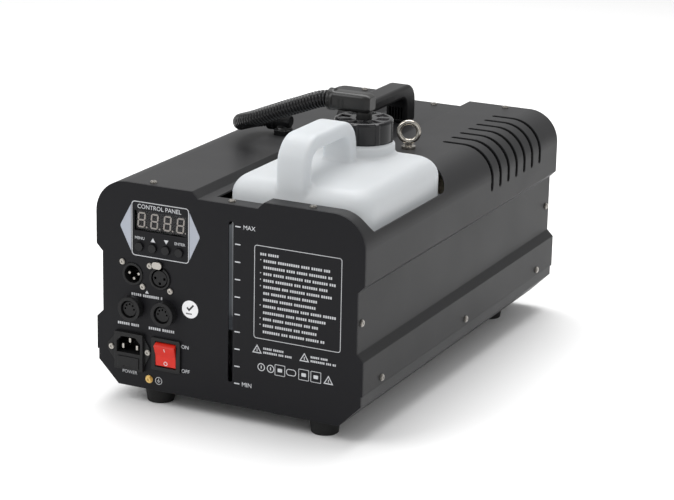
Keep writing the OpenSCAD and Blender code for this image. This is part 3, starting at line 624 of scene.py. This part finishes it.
def make_cap(materials):
    """The screw cap: a ribbed skirt, a raised rim and eight shallow pockets round the hub."""
    low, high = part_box("screw_cap")
    c = (low + high) / 2
    h = high.z - low.z
    r_out = (high.x - low.x) / 2
    skirt = r_out - 0.7 * MM
    inner = 25.3 * MM
    hub = 7.3 * MM

    def rib(r, z, a):
        if r < skirt - 1e-6:
            return r
        near = abs((math.degrees(a) + 82 + 22.5) % 45 - 22.5)
        lift = max(0, min(1, (5.2 - near) / 1.4))
        return r + 0.68 * MM * lift * (1 if z < h - 1 * MM else 0.3)

    profile = [(inner, 0), (skirt - 0.3 * MM, 0), (skirt, 0.5 * MM), (skirt, 2 * MM),
               (skirt, h - 3 * MM), (skirt, h - 1.6 * MM), (skirt - 0.6 * MM, h - 0.5 * MM),
               (skirt - 1.6 * MM, h), (skirt - 3.4 * MM, h), (skirt - 3.9 * MM, h - 1.2 * MM),
               (12.6 * MM, h - 1.2 * MM), (12.2 * MM, h), (hub + 0.3 * MM, h), (hub, h - 0.3 * MM),
               (hub, h - 2.9 * MM), (inner, h - 2.9 * MM)]
    bm = bmesh.new()
    lathe(bm, profile, (c.x, c.y, low.z), steps=240, shape=rib)
    for k in range(8):
        spoke(bm, c, high.z, math.radians(-82 + 22.5 + 45 * k), 12.2 * MM, skirt - 3.4 * MM)
    cap = add("cap_moulding", bm, materials["cap_black"], "cap", 35)
    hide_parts("screw_cap")


def spoke(bm, c, top, angle, r0, r1):
    """A low raised bar on the cap's top, wider at its outer end."""
    u = Vector((math.cos(angle), math.sin(angle), 0))
    v = Vector((-u.y, u.x, 0))
    rings = []
    for r, w in ((r0, 2 * MM), ((r0 + r1) / 2, 2.6 * MM), (r1 + 0.2 * MM, 3.4 * MM)):
        base = Vector((c.x, c.y, 0)) + u * r
        rings.append([base + v * s * w + Vector((0, 0, z))
                      for s, z in ((-1, top - 1.3 * MM), (-0.86, top - 0.15 * MM),
                                   (0.86, top - 0.15 * MM), (1, top - 1.3 * MM))])
    skin(bm, rings)


def make_elbow(materials):
    """The elbow on the cap: a flange, a stem, an arm with a squared corner, slots and a ringed collar."""
    low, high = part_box("hose_elbow")
    cap_low, cap_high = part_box("screw_cap")
    c = (cap_low + cap_high) / 2
    arm_z = high.z - 10 * MM
    stem = 7 * MM
    bm = bmesh.new()
    lathe(bm, [(4.05 * MM, 0), (24.2 * MM, 0), (24.3 * MM, 1 * MM), (24.2 * MM, 2.1 * MM),
               (4.05 * MM, 2.1 * MM)], (c.x, c.y, low.z))
    lathe(bm, [(4.05 * MM, 1 * MM), (stem, 1 * MM), (stem, arm_z - low.z - 6.5 * MM),
               (4.05 * MM, arm_z - low.z - 6.5 * MM)], (c.x, c.y, low.z))
    arm_profile(bm, low, c, arm_z)
    elbow = add("elbow_moulding", bm, materials["elbow_grey"], "bottle_unit", 32)
    bevel_edges(elbow, 0.5 * MM)
    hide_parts("hose_elbow")
    elbow_slots(materials, low, c, arm_z)


def arm_profile(bm, low, c, z):
    """The arm from its ringed collar to the squared end over the stem, with the conduit's bore."""
    start, end = low.x, c.x
    stations = [(start + 0.02 * MM, 9.6), (start + 0.6 * MM, 9.95), (start + 2.2 * MM, 9.95),
                (start + 2.6 * MM, 9.4), (start + 3.4 * MM, 9.4), (start + 3.8 * MM, 9.95),
                (start + 5.6 * MM, 9.95), (start + 5.95 * MM, 8.5), (start + 8 * MM, 8.5),
                (end - 9 * MM, 8.5), (end + 1 * MM, 8.5), (end + 5 * MM, 7.9), (end + 8.2 * MM, 6)]
    rings = []
    for x, size in stations:
        s = size * MM
        corner = s if x < start + 5.9 * MM else s - 4 * MM
        rings.append([(x, c.y + a, z + b) for a, b in round_rect(-s, s, -s, s, corner, 8)])
    outer = skin(bm, rings, caps=False)
    inner = []
    for x, size in ((start + 0.02 * MM, 7.95), (start + 5.5 * MM, 7.95), (start + 5.6 * MM, 3.4)):
        s = size * MM
        inner.append([(x, c.y + a, z + b) for a, b in round_rect(-s, s, -s, s, s, 8)])
    bore = skin(bm, inner, caps=False)
    bridge(bm, bore[0], outer[0])
    bm.faces.new(bore[-1])
    bm.faces.new(outer[-1])


def elbow_slots(materials, low, c, z):
    """Two near-black plates on the side of the arm: painted shade for the dark insides of the slots."""
    bm = bmesh.new()
    for x in (low.x + 12.6 * MM, low.x + 16.6 * MM):
        ring = round_rect(x - 1.1 * MM, x + 1.1 * MM, z - 5 * MM, z + 3.2 * MM, 0.9 * MM, 4)
        skin(bm, [[(a, c.y - 8 * MM, b) for a, b in ring], [(a, c.y - 8.56 * MM, b) for a, b in ring]])
    slots = add("elbow_slots", bm, materials["slot_dark"], "bottle_unit")
    return slots


def bevel_edges(obj, width, segments=2):
    bevel = obj.modifiers.new("edges", "BEVEL")
    bevel.width = width
    bevel.segments = segments
    bevel.limit_method = "ANGLE"
    bevel.angle_limit = math.radians(38)
    apply_modifiers(obj)


# Centre line of the conduit from the cap's elbow to the case's gland, above the case's underside, in mm
CONDUIT_ROUTE = [
    (25, -67, 243.8), (18, -67, 243.6), (12, -67, 242.6), (4, -67, 240), (-8, -66.5, 235.3),
    (-26, -66, 228.3), (-44, -64.5, 220.9), (-60, -61.5, 214.2), (-74, -54, 208.8), (-83, -42, 204.5),
    (-87.5, -28, 201.6), (-88, -14, 200), (-85, -3, 199.2), (-79, 2.4, 199), (-70, 3, 199),
]
CONDUIT_RIB = 3.3 * MM
CONDUIT_RADII = (6.2 * MM, 7.65 * MM)


def make_conduit(materials):
    """A ribbed nylon conduit, held by the elbow at one end and the gland at the other."""
    case_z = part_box("base_pan")[0].z
    route = [Vector((x * MM, y * MM, z * MM + case_z)) for x, y, z in CONDUIT_ROUTE]
    dense = smooth_path(route, 2 * MM)
    length = evenly(dense, 2)[1]
    ribs = round(length / CONDUIT_RIB)
    per_rib = 8
    path, length = evenly(dense, ribs * per_rib + 1)
    low, high = CONDUIT_RADII
    bm = bmesh.new()
    rings = []
    for i, (p, u, v) in enumerate(frames_along(path)):
        wave = 0.5 - 0.5 * math.cos(TAU * i / per_rib)
        r = low + (high - low) * min(1, 1.7 * wave)
        rings.append([p + (u * math.cos(a) + v * math.sin(a)) * r
                      for a in (TAU * k / 32 for k in range(32))])
    skin(bm, rings)
    hose = add("conduit_ribbed", bm, materials["hose_black"], None, 60)
    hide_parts("conduit")
    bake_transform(hose)


def make_pump_spring(materials):
    """The coil over the pump's plunger, drawn at one fixed length; it does not shorten as the plunger rises.
    """
    low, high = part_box("pump_spring")
    x, y = (low.x + high.x) / 2, (low.y + high.y) / 2
    wire, turns, per_turn = 0.6 * MM, 4.5, 24
    r = (high.x - low.x) / 2 - wire
    steps = round(turns * per_turn)
    rise = high.z - low.z - 2 * wire
    path = [Vector((x + r * math.cos(TAU * k / per_turn), y + r * math.sin(TAU * k / per_turn),
                    low.z + wire + rise * k / steps)) for k in range(steps + 1)]
    rings = []
    for p, u, v in frames_along(path):
        rings.append([p + (u * math.cos(a) + v * math.sin(a)) * wire
                      for a in (TAU * k / 10 for k in range(10))])
    bm = bmesh.new()
    skin(bm, rings)
    coil = add("pump_spring_coil", bm, materials["plunger_steel"], None, 60)
    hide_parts("pump_spring")
    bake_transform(coil)


def make_gland(materials):
    """The gland on the case: a hexagon, a dome and a ringed collar that takes the conduit."""
    low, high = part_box("conduit_gland")
    sleeve_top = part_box("cover_sleeve")[1].z
    z = high.z - 9.8 * MM
    x = low.x + 15 * MM
    y = (low.y + high.y) / 2
    bm = bmesh.new()
    hexagon(bm, x, y, sleeve_top + 0.05 * MM, sleeve_top + 5 * MM, 10.5 * MM)
    lathe(bm, [(3.4 * MM, 0), (8.6 * MM, 0), (8.6 * MM, 2 * MM), (7.8 * MM, 3 * MM),
               (7.6 * MM, 9 * MM), (3.4 * MM, 9 * MM)], (x, y, sleeve_top + 4 * MM))
    lathe(bm, [(3.4 * MM, 0), (8 * MM, 0), (8 * MM, 11.9 * MM), (3.4 * MM, 11.9 * MM)],
          (x, y, sleeve_top - 12 * MM))
    hexagon(bm, x, y, sleeve_top - 6.7 * MM, sleeve_top - 1.7 * MM, 11.9 * MM)
    rings = []
    for dx, r in ((7.9, 4.9), (6, 6.8), (2, 7.9), (-6.4, 8.2), (-6.6, 9.7), (-9.4, 9.7),
                  (-9.6, 9.1), (-11, 9.1), (-11.2, 9.7), (-14.3, 9.7), (-14.9, 9.2)):
        rings.append([(x + dx * MM, y + a, z + b)
                      for a, b in round_rect(-r * MM, r * MM, -r * MM, r * MM, r * MM * 0.93, 8)])
    outer = skin(bm, rings, caps=False)
    bore = skin(bm, [[(x + dx * MM, y + a, z + b) for a, b in
                      round_rect(-7.95 * MM, 7.95 * MM, -7.95 * MM, 7.95 * MM, 7.9 * MM, 8)]
                     for dx in (-14.9, -7.1)], caps=False)
    bridge(bm, outer[-1], bore[0])
    bm.faces.new(bore[-1])
    bm.faces.new(outer[0])
    gland = add("gland_moulding", bm, materials["hose_black"], "case", 32)
    bevel_edges(gland, 0.5 * MM)
    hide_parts("conduit_gland")


def hexagon(bm, x, y, z0, z1, r):
    ring = [(x + r * math.cos(TAU * k / 6), y + r * math.sin(TAU * k / 6)) for k in range(6)]
    skin(bm, [[(a, b, z0) for a, b in ring], [(a, b, z1) for a, b in ring]])


# ---- carry handle ----


def make_carry_handle(materials):
    """A moulded grip: rounded outside, hollow underneath, with ribs across the hollow."""
    low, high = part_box("carry_handle")
    leg, grip, shell = 22 * MM, 12 * MM, 2.6 * MM
    outer = handle_outline(low.y, high.y, low.z, high.z, leg, grip)
    bm = bmesh.new()
    skin(bm, [[(x, y, z) for y, z in outer] for x in (low.x, high.x)])
    obj = add("grip_moulding", bm, materials["handle_black"], None, 40)
    bevel_edges(obj, 3.2 * MM, 4)
    cut = hollow_under_grip(low, high, leg, grip, shell)
    boolean = obj.modifiers.new("hollow", "BOOLEAN")
    boolean.operation = "DIFFERENCE"
    boolean.object = cut
    apply_modifiers(obj)
    bpy.data.objects.remove(cut)
    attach(obj, "case")
    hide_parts("carry_handle")


def handle_outline(y0, y1, z0, z1, leg, grip):
    """The handle seen from its side, as one closed line."""
    R, r = 17 * MM, 9 * MM
    line = [(y0, z0)]
    line += arc(y0 + R, z1 - R, R, 180, 90, 8)
    line += arc(y1 - R, z1 - R, R, 90, 0, 8)
    line += [(y1, z0), (y1 - leg, z0)]
    under = z1 - grip
    line += arc(y1 - leg - r, under - r, r, 0, 90, 6)
    line += arc(y0 + leg + r, under - r, r, 90, 180, 6)
    line += [(y0 + leg, z0)]
    return line


def hollow_under_grip(low, high, leg, grip, shell):
    """Pockets between the ribs in the underside of the grip and in the inner faces of the legs."""
    bm = bmesh.new()
    x0, x1 = low.x + 3.4 * MM, high.x - 3.4 * MM
    under = high.z - grip
    y = low.y + leg + 12 * MM
    while y + 7 * MM < high.y - leg - 10 * MM:
        ring = round_rect(x0, x1, y, y + 6.4 * MM, 1 * MM, 3)
        skin(bm, [[(a, b, under - 1 * MM) for a, b in ring], [(a, b, high.z - shell) for a, b in ring]])
        y += 8.2 * MM
    for face_y, depth in ((low.y + leg, -5 * MM), (high.y - leg, 5 * MM)):
        for k in range(5):
            x = x0 + (x1 - x0) * (k + 0.5) / 5
            ring = round_rect(x - 1.05 * MM, x + 1.05 * MM, low.z + 4 * MM, under - 10 * MM, 0.8 * MM, 3)
            skin(bm, [[(a, face_y - math.copysign(1 * MM, depth), b) for a, b in ring],
                      [(a, face_y + depth, b) for a, b in ring]])
    bmesh.ops.recalc_face_normals(bm, faces=bm.faces)
    mesh = bpy.data.meshes.new("hollow")
    bm.to_mesh(mesh)
    bm.free()
    cut = bpy.data.objects.new("hollow", mesh)
    bpy.context.scene.collection.objects.link(cut)
    return cut


# ---- vent mesh ----


def make_vent_mesh(materials):
    """A perforated sheet that follows the sleeve's shoulder behind the vents."""
    low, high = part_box("vent_mesh")
    r = 28 * MM
    flat = high.x - low.x - r
    wall = high.z - low.z - r
    bend = r * math.pi / 2
    pitch = 3.2 * MM
    hole = 1.25 * MM

    def place(s, y, depth):
        if s < flat:
            return (low.x + s, y, high.z - depth)
        if s < flat + bend:
            a = (s - flat) / r
            return (low.x + flat + (r - depth) * math.sin(a), y, high.z - r + (r - depth) * math.cos(a))
        return (high.x - depth, y, high.z - r - (s - flat - bend))

    bm = bmesh.new()
    total = flat + bend + wall
    columns = int(total / pitch)
    rows = int((high.y - low.y) / (pitch * 0.866))
    for i in range(columns):
        for j in range(rows):
            s = (i + 0.5 + (0.5 if j % 2 else 0)) * pitch
            if s + pitch / 2 > total:
                continue
            perforated_cell(bm, place, s, low.y + (j + 0.6) * pitch * 0.866, pitch, hole)
    bmesh.ops.remove_doubles(bm, verts=bm.verts, dist=0.02 * MM)
    mesh = add("vent_perforated", bm, materials["mesh_black"], "case", 60)
    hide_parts("vent_mesh")


def perforated_cell(bm, place, s, y, pitch, hole):
    """One hexagon of sheet with a round hole in it."""
    outer = [bm.verts.new(place(s + pitch / math.sqrt(3) * math.sin(TAU * k / 6),
                                y + pitch / math.sqrt(3) * math.cos(TAU * k / 6), 0.1 * MM))
             for k in range(6)]
    inner = [bm.verts.new(place(s + hole * math.sin(TAU * k / 6), y + hole * math.cos(TAU * k / 6), 0.1 * MM))
             for k in range(6)]
    deep = [bm.verts.new(place(s + hole * math.sin(TAU * k / 6), y + hole * math.cos(TAU * k / 6), 0.7 * MM))
            for k in range(6)]
    bridge(bm, outer, inner)
    bridge(bm, inner, deep)


# ---- display and printing on the panel ----

PRINT = 0.06 * MM


def plate(bm, outline, y, thick=PRINT):
    """A thin flat shape given in X and Z, standing out of the panel from y."""
    skin(bm, [[(x, y, z) for x, z in outline], [(x, y - thick, z) for x, z in outline]])


def frame_line(bm, outer, inner, y, thick=PRINT):
    """A thin closed line between two outlines with as many points."""
    rings = [[(x, yy, z) for x, z in line]
             for line, yy in ((outer, y), (inner, y), (inner, y - thick), (outer, y - thick))]
    skin(bm, rings, closed=True)


SEGMENT_PROUD = 0.12 * MM
DIGIT_LEAN = 0.09


def make_digits(materials):
    """Four seven-segment digits with points, unlit, on the display's face. Their material has a painted glow.
    """
    low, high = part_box("led_display")
    y = low.y
    zc = (low.z + high.z) / 2
    pitch = (high.x - low.x) / 4
    w, h, t = 7.6 * MM, 13.8 * MM, 1.35 * MM
    bm = bmesh.new()
    for k in range(4):
        x = low.x + pitch * (k + 0.5) - 0.6 * MM
        for dz in (h / 2 - t / 2, 0, -h / 2 + t / 2):
            segment(bm, x, zc + dz, w - t * 1.1, t, 0, y)
        for dx in (-1, 1):
            for dz in (-1, 1):
                segment(bm, x + dx * (w / 2 - t / 2), zc + dz * (h / 4 - t / 4), h / 2 - t * 0.9, t, 1, y)
        point = arc(x + w / 2 + 1.3 * MM, zc - h / 2 + 0.7 * MM, 0.75 * MM, 0, 330, 11)
        plate(bm, point, y, SEGMENT_PROUD)
    return add("display_segments", bm, materials["segment_grey"], "case", 40)


def segment(bm, x, z, length, width, upright, y):
    """One bar with pointed ends, slanted as the digits are."""
    half, side = length / 2, width / 2
    points = [(-half, 0), (-half + side, side), (half - side, side),
              (half, 0), (half - side, -side), (-half + side, -side)]
    if upright:
        points = [(b, a) for a, b in points]
    zc = sum(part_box("led_display")[i].z for i in (0, 1)) / 2
    outline = [(x + a + (z + b - zc) * DIGIT_LEAN, z + b) for a, b in points]
    plate(bm, outline, y, SEGMENT_PROUD)


CASE_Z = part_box("base_pan")[0].z


def spot(x, z):
    """A place on the rear panel, in mm from its middle and from the case's underside."""
    return x * MM, CASE_Z + z * MM


def make_panel_print(materials):
    """Plain generic marks in place of the printing: a frame, arrows, a level scale and blank blocks."""
    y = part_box("rear_panel")[0].y
    bm = bmesh.new()
    control_frame(bm, y)
    button_marks(bm, y)
    level_scale(bm, y)
    notice_box(bm, y)
    signs_under_notice(bm, y)
    captions(bm, y)
    earth_sign(bm, y)
    add("panel_print", bm, materials["print_white"], "case", 30)
    side_triangles(materials, y)
    round_sticker(materials, y)


def outline_box(bm, x0, x1, z0, z1, r, line, y):
    a, b = spot(x0, z0), spot(x1, z1)
    t = line * MM
    frame_line(bm, round_rect(a[0], b[0], a[1], b[1], r * MM),
               round_rect(a[0] + t, b[0] - t, a[1] + t, b[1] - t, (r - line) * MM), y)


def control_frame(bm, y):
    outline_box(bm, -94.2, -37.2, 121.2, 170.4, 3.4, 0.75, y)
    add_text(bm, "CONTROL PANEL", *spot(-66.6, 165.9), 4.1 * MM, y)


def side_triangles(materials, y):
    """Silver triangles on both sides of the control frame."""
    bm = bmesh.new()
    for foot, tip in ((-94.7, -105.4), (-36.7, -26.8)):
        line = [spot(foot, 167), spot(tip, 147.2), spot(tip, 145.6), spot(foot, 124.5)]
        plate(bm, line if tip > foot else line[::-1], y)
    add("control_triangles", bm, materials["print_silver"], "case", 30)


def button_marks(bm, y):
    """Arrows over the two middle buttons, generic words over the others."""
    add_text(bm, "MENU", *spot(-86.2, 137.4), 2.7 * MM, y)
    add_text(bm, "ENTER", *spot(-46.3, 137.4), 2.7 * MM, y)
    for at, way in ((-72.9, 1), (-59.7, -1)):
        x, z = spot(at, 137.3)
        s = 2.3 * MM
        plate(bm, [(x - s, z - s * 0.8 * way), (x + s, z - s * 0.8 * way), (x, z + s * 0.8 * way)], y)


def level_scale(bm, y):
    """Ten ticks beside the sight slot, from empty to full."""
    low, high, count = 20.9, 161.6, 10
    for k in range(count):
        x, z = spot(7.6, low + (high - low) * k / (count - 1))
        plate(bm, round_rect(x, x + 5.4 * MM, z - 0.55 * MM, z + 0.55 * MM, 0.4 * MM, 2), y)
    add_text(bm, "MAX", *spot(21.2, high), 4.1 * MM, y)
    add_text(bm, "MIN", *spot(20, low), 4.2 * MM, y)


# Where each row of the blank notice ends, and which rows start with a dot
NOTICE_ROWS = [99.7, 101, 104, 96, 100, 87, 88, 105, 96, 89, 89, 94]
NOTICE_DOTS = (0, 2, 3, 4, 7, 9, 10)


def notice_box(bm, y):
    """A blank notice: a thin frame round rows of plain blocks."""
    outline_box(bm, 26.3, 109, 65.4, 148.4, 2.6, 0.6, y)
    blocks(bm, 32, 49.5, 141, 5, y)
    for k, end in enumerate(NOTICE_ROWS):
        z = 135.3 - 5.74 * k
        blocks(bm, 35.2, end, z, k, y)
        if k in NOTICE_DOTS:
            x, zz = spot(32.4, z + 0.6)
            plate(bm, arc(x, zz, 0.55 * MM, 0, 315, 7), y)


def blocks(bm, x0, x1, z, seed, y, height=2.3, width=1.45, space=0.62):
    """A row of small blank blocks in groups, as long as words are. They hold no letters."""
    groups = (6, 10, 4, 5, 8, 3, 7)
    x, k, left = x0, seed, 0
    while x < x1 - width:
        left += 1
        a, b = spot(x, z - height / 2), spot(x + width, z + height / 2)
        plate(bm, [(a[0], a[1]), (b[0], a[1]), (b[0], b[1]), (a[0], b[1])], y)
        x += width + space
        if left >= groups[k % len(groups)]:
            x += width * 0.9
            k, left = k + 1, 0


def signs_under_notice(bm, y):
    """Plain shapes in place of the marks under the notice."""
    for x, end in ((29.8, 63.5), (75.1, 105)):
        triangle_sign(bm, *spot(x, 55), y)
        blocks(bm, x + 6, end - 8, 57.2, 3, y, 1.9, 1.2, 0.5)
        blocks(bm, x + 6, end, 53.6, 4, y, 1.9, 1.2, 0.5)
    for x in (34, 43):
        ring_sign(bm, *spot(x, 40), y)
    for x in (52, 74.8, 86.3):
        square_sign(bm, *spot(x, 40), y)
    outline_box(bm, 58, 67.5, 37, 43, 2.6, 0.7, y)
    triangle_sign(bm, *spot(98.2, 38.6), y)


def ring_sign(bm, x, z, y, size=3.6):
    s, t = size * MM, 0.8 * MM
    frame_line(bm, round_rect(x - s, x + s, z - s, z + s, s * 0.999),
               round_rect(x - s + t, x + s - t, z - s + t, z + s - t, (s - t) * 0.999), y)
    plate(bm, round_rect(x - 0.5 * MM, x + 0.5 * MM, z - 1.4 * MM, z + 1.4 * MM, 0.4 * MM, 2), y)


def square_sign(bm, x, z, y):
    s, t = 5 * MM, 0.55 * MM
    frame_line(bm, round_rect(x - s, x + s, z - s, z + s, 0.8 * MM),
               round_rect(x - s + t, x + s - t, z - s + t, z + s - t, 0.4 * MM), y)
    plate(bm, round_rect(x - 2.2 * MM, x + 2.2 * MM, z - 1.6 * MM, z + 1.6 * MM, 0.5 * MM, 2), y)


def triangle_sign(bm, x, z, y):
    s = 4.7 * MM

    def outline(k):
        return [(x - k * s, z - 0.62 * k * s), (x + k * s, z - 0.62 * k * s), (x, z + 1.05 * k * s)]

    frame_line(bm, outline(1), outline(0.68), y)
    plate(bm, round_rect(x - 0.35 * MM, x + 0.35 * MM, z - 1.5 * MM, z + 1.4 * MM, 0.3 * MM, 2), y)


def captions(bm, y):
    """Words for the switch and the inlet, and blank captions under the sockets."""
    add_text(bm, "ON", *spot(-41, 45), 3.6 * MM, y)
    add_text(bm, "OFF", *spot(-40.5, 22.8), 3.6 * MM, y)
    add_text(bm, "POWER", *spot(-97, 12.7), 3.3 * MM, y)
    blocks(bm, -94.7, -62.8, 85.6, 3, y, 2.4)
    blocks(bm, -108.8, -85.4, 57.2, 0, y, 2.4)
    blocks(bm, -77.4, -51.2, 57, 0, y, 2.4)
    x, z = spot(-79.1, 89.3)
    plate(bm, [(x - 1.9 * MM, z - 1.2 * MM), (x + 1.9 * MM, z - 1.2 * MM), (x, z + 1.5 * MM)], y)


def earth_sign(bm, y):
    x, z = spot(-67.6, 9.4)
    s, t = 3.5 * MM, 0.5 * MM
    frame_line(bm, round_rect(x - s, x + s, z - s, z + s, s * 0.999),
               round_rect(x - s + t, x + s - t, z - s + t, z + s - t, (s - t) * 0.999), y)
    bars = [(0.25, 0, 2.2), (1.7, -0.22, 0.22), (1.1, -1.07, -0.63), (0.5, -1.92, -1.48)]
    for half, z0, z1 in bars:
        plate(bm, [(x - half * MM, z + z0 * MM), (x + half * MM, z + z0 * MM),
                   (x + half * MM, z + z1 * MM), (x - half * MM, z + z1 * MM)], y)


def round_sticker(materials, y):
    """A plain white inspection sticker with a tick."""
    x, z = spot(-36, 80.5)
    bm = bmesh.new()
    plate(bm, arc(x, z, 8 * MM, 0, 352.5, 47), y, 0.1 * MM)
    add("sticker", bm, materials["sticker_white"], "case", 30)
    bm = bmesh.new()
    tick = [(-3.6, 0.9), (-2.4, 2), (-1, 0.5), (2.9, 4.7), (4, 3.6), (-1, -1.9)]
    plate(bm, [(x + a * MM, z + b * MM) for a, b in tick], y - 0.1 * MM, 0.04 * MM)
    blocks(bm, -40, -32.4, 76.4, 3, y - 0.1 * MM, 1.2, 0.9, 0.3)
    add("sticker_tick", bm, materials["display_black"], "case", 30)


def add_text(bm, text, x, z, height, y):
    """A generic word, such as a switch's ON, as thin raised print centred on a point."""
    data = bpy.data.curves.new("word", "FONT")
    data.body = text
    data.align_x, data.align_y = "CENTER", "CENTER"
    data.size = height * 1.32
    data.offset = height * 0.005
    data.extrude = 0.0
    data.resolution_u = 3
    obj = bpy.data.objects.new("word", data)
    bpy.context.scene.collection.objects.link(obj)
    graph = bpy.context.evaluated_depsgraph_get()
    mesh = bpy.data.meshes.new_from_object(obj.evaluated_get(graph))
    face_panel = Matrix(((1, 0, 0, x), (0, 0, -1, y - PRINT), (0, 1, 0, z), (0, 0, 0, 1)))
    mesh.transform(face_panel)
    bm.from_mesh(mesh)
    bpy.data.objects.remove(obj)
    bpy.data.meshes.remove(mesh)


def make_rocker_marks(materials):
    """The line and the ring moulded into the rocker's two ends."""
    low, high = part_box("rocker")
    c = (low + high) / 2
    bm = bmesh.new()
    lean = math.radians(11)
    pivot = Vector((c.x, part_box("rear_panel")[0].y + 3 * MM, c.z))
    turn = Matrix.Rotation(lean, 3, "X")

    def on_face(u, v, out):
        slope = 2 * MM / (12 * MM)
        local = Vector((u, -5 * MM - abs(v) * slope - out, v))
        return pivot + turn @ local

    ring = [(a, b - 6.6 * MM) for a, b in arc(0, 0, 1.9 * MM, 0, 345, 23)]
    inner = [(a, b - 6.6 * MM) for a, b in arc(0, 0, 1.35 * MM, 0, 345, 23)]
    lines = [[on_face(u, v, o) for u, v in line] for line, o in
             ((ring, -0.05 * MM), (inner, -0.05 * MM), (inner, 0.05 * MM), (ring, 0.05 * MM))]
    skin(bm, lines, closed=True)
    bar = [(-0.3 * MM, 4.8 * MM), (0.3 * MM, 4.8 * MM), (0.3 * MM, 8.2 * MM), (-0.3 * MM, 8.2 * MM)]
    skin(bm, [[on_face(u, v, o) for u, v in bar] for o in (-0.05 * MM, 0.05 * MM)])
    add("rocker_marks", bm, materials["sticker_white"], "rocker", 30)


# ---- the whole machine ----

make_camera()
make_lights()
make_floor()
MATERIALS = make_materials()
dress_cad_nodes(MATERIALS)
make_conduit(MATERIALS)
make_bottle(MATERIALS)
make_cap(MATERIALS)
make_elbow(MATERIALS)
make_gland(MATERIALS)
make_pump_spring(MATERIALS)
make_carry_handle(MATERIALS)
make_vent_mesh(MATERIALS)
make_digits(MATERIALS)
make_panel_print(MATERIALS)
make_rocker_marks(MATERIALS)
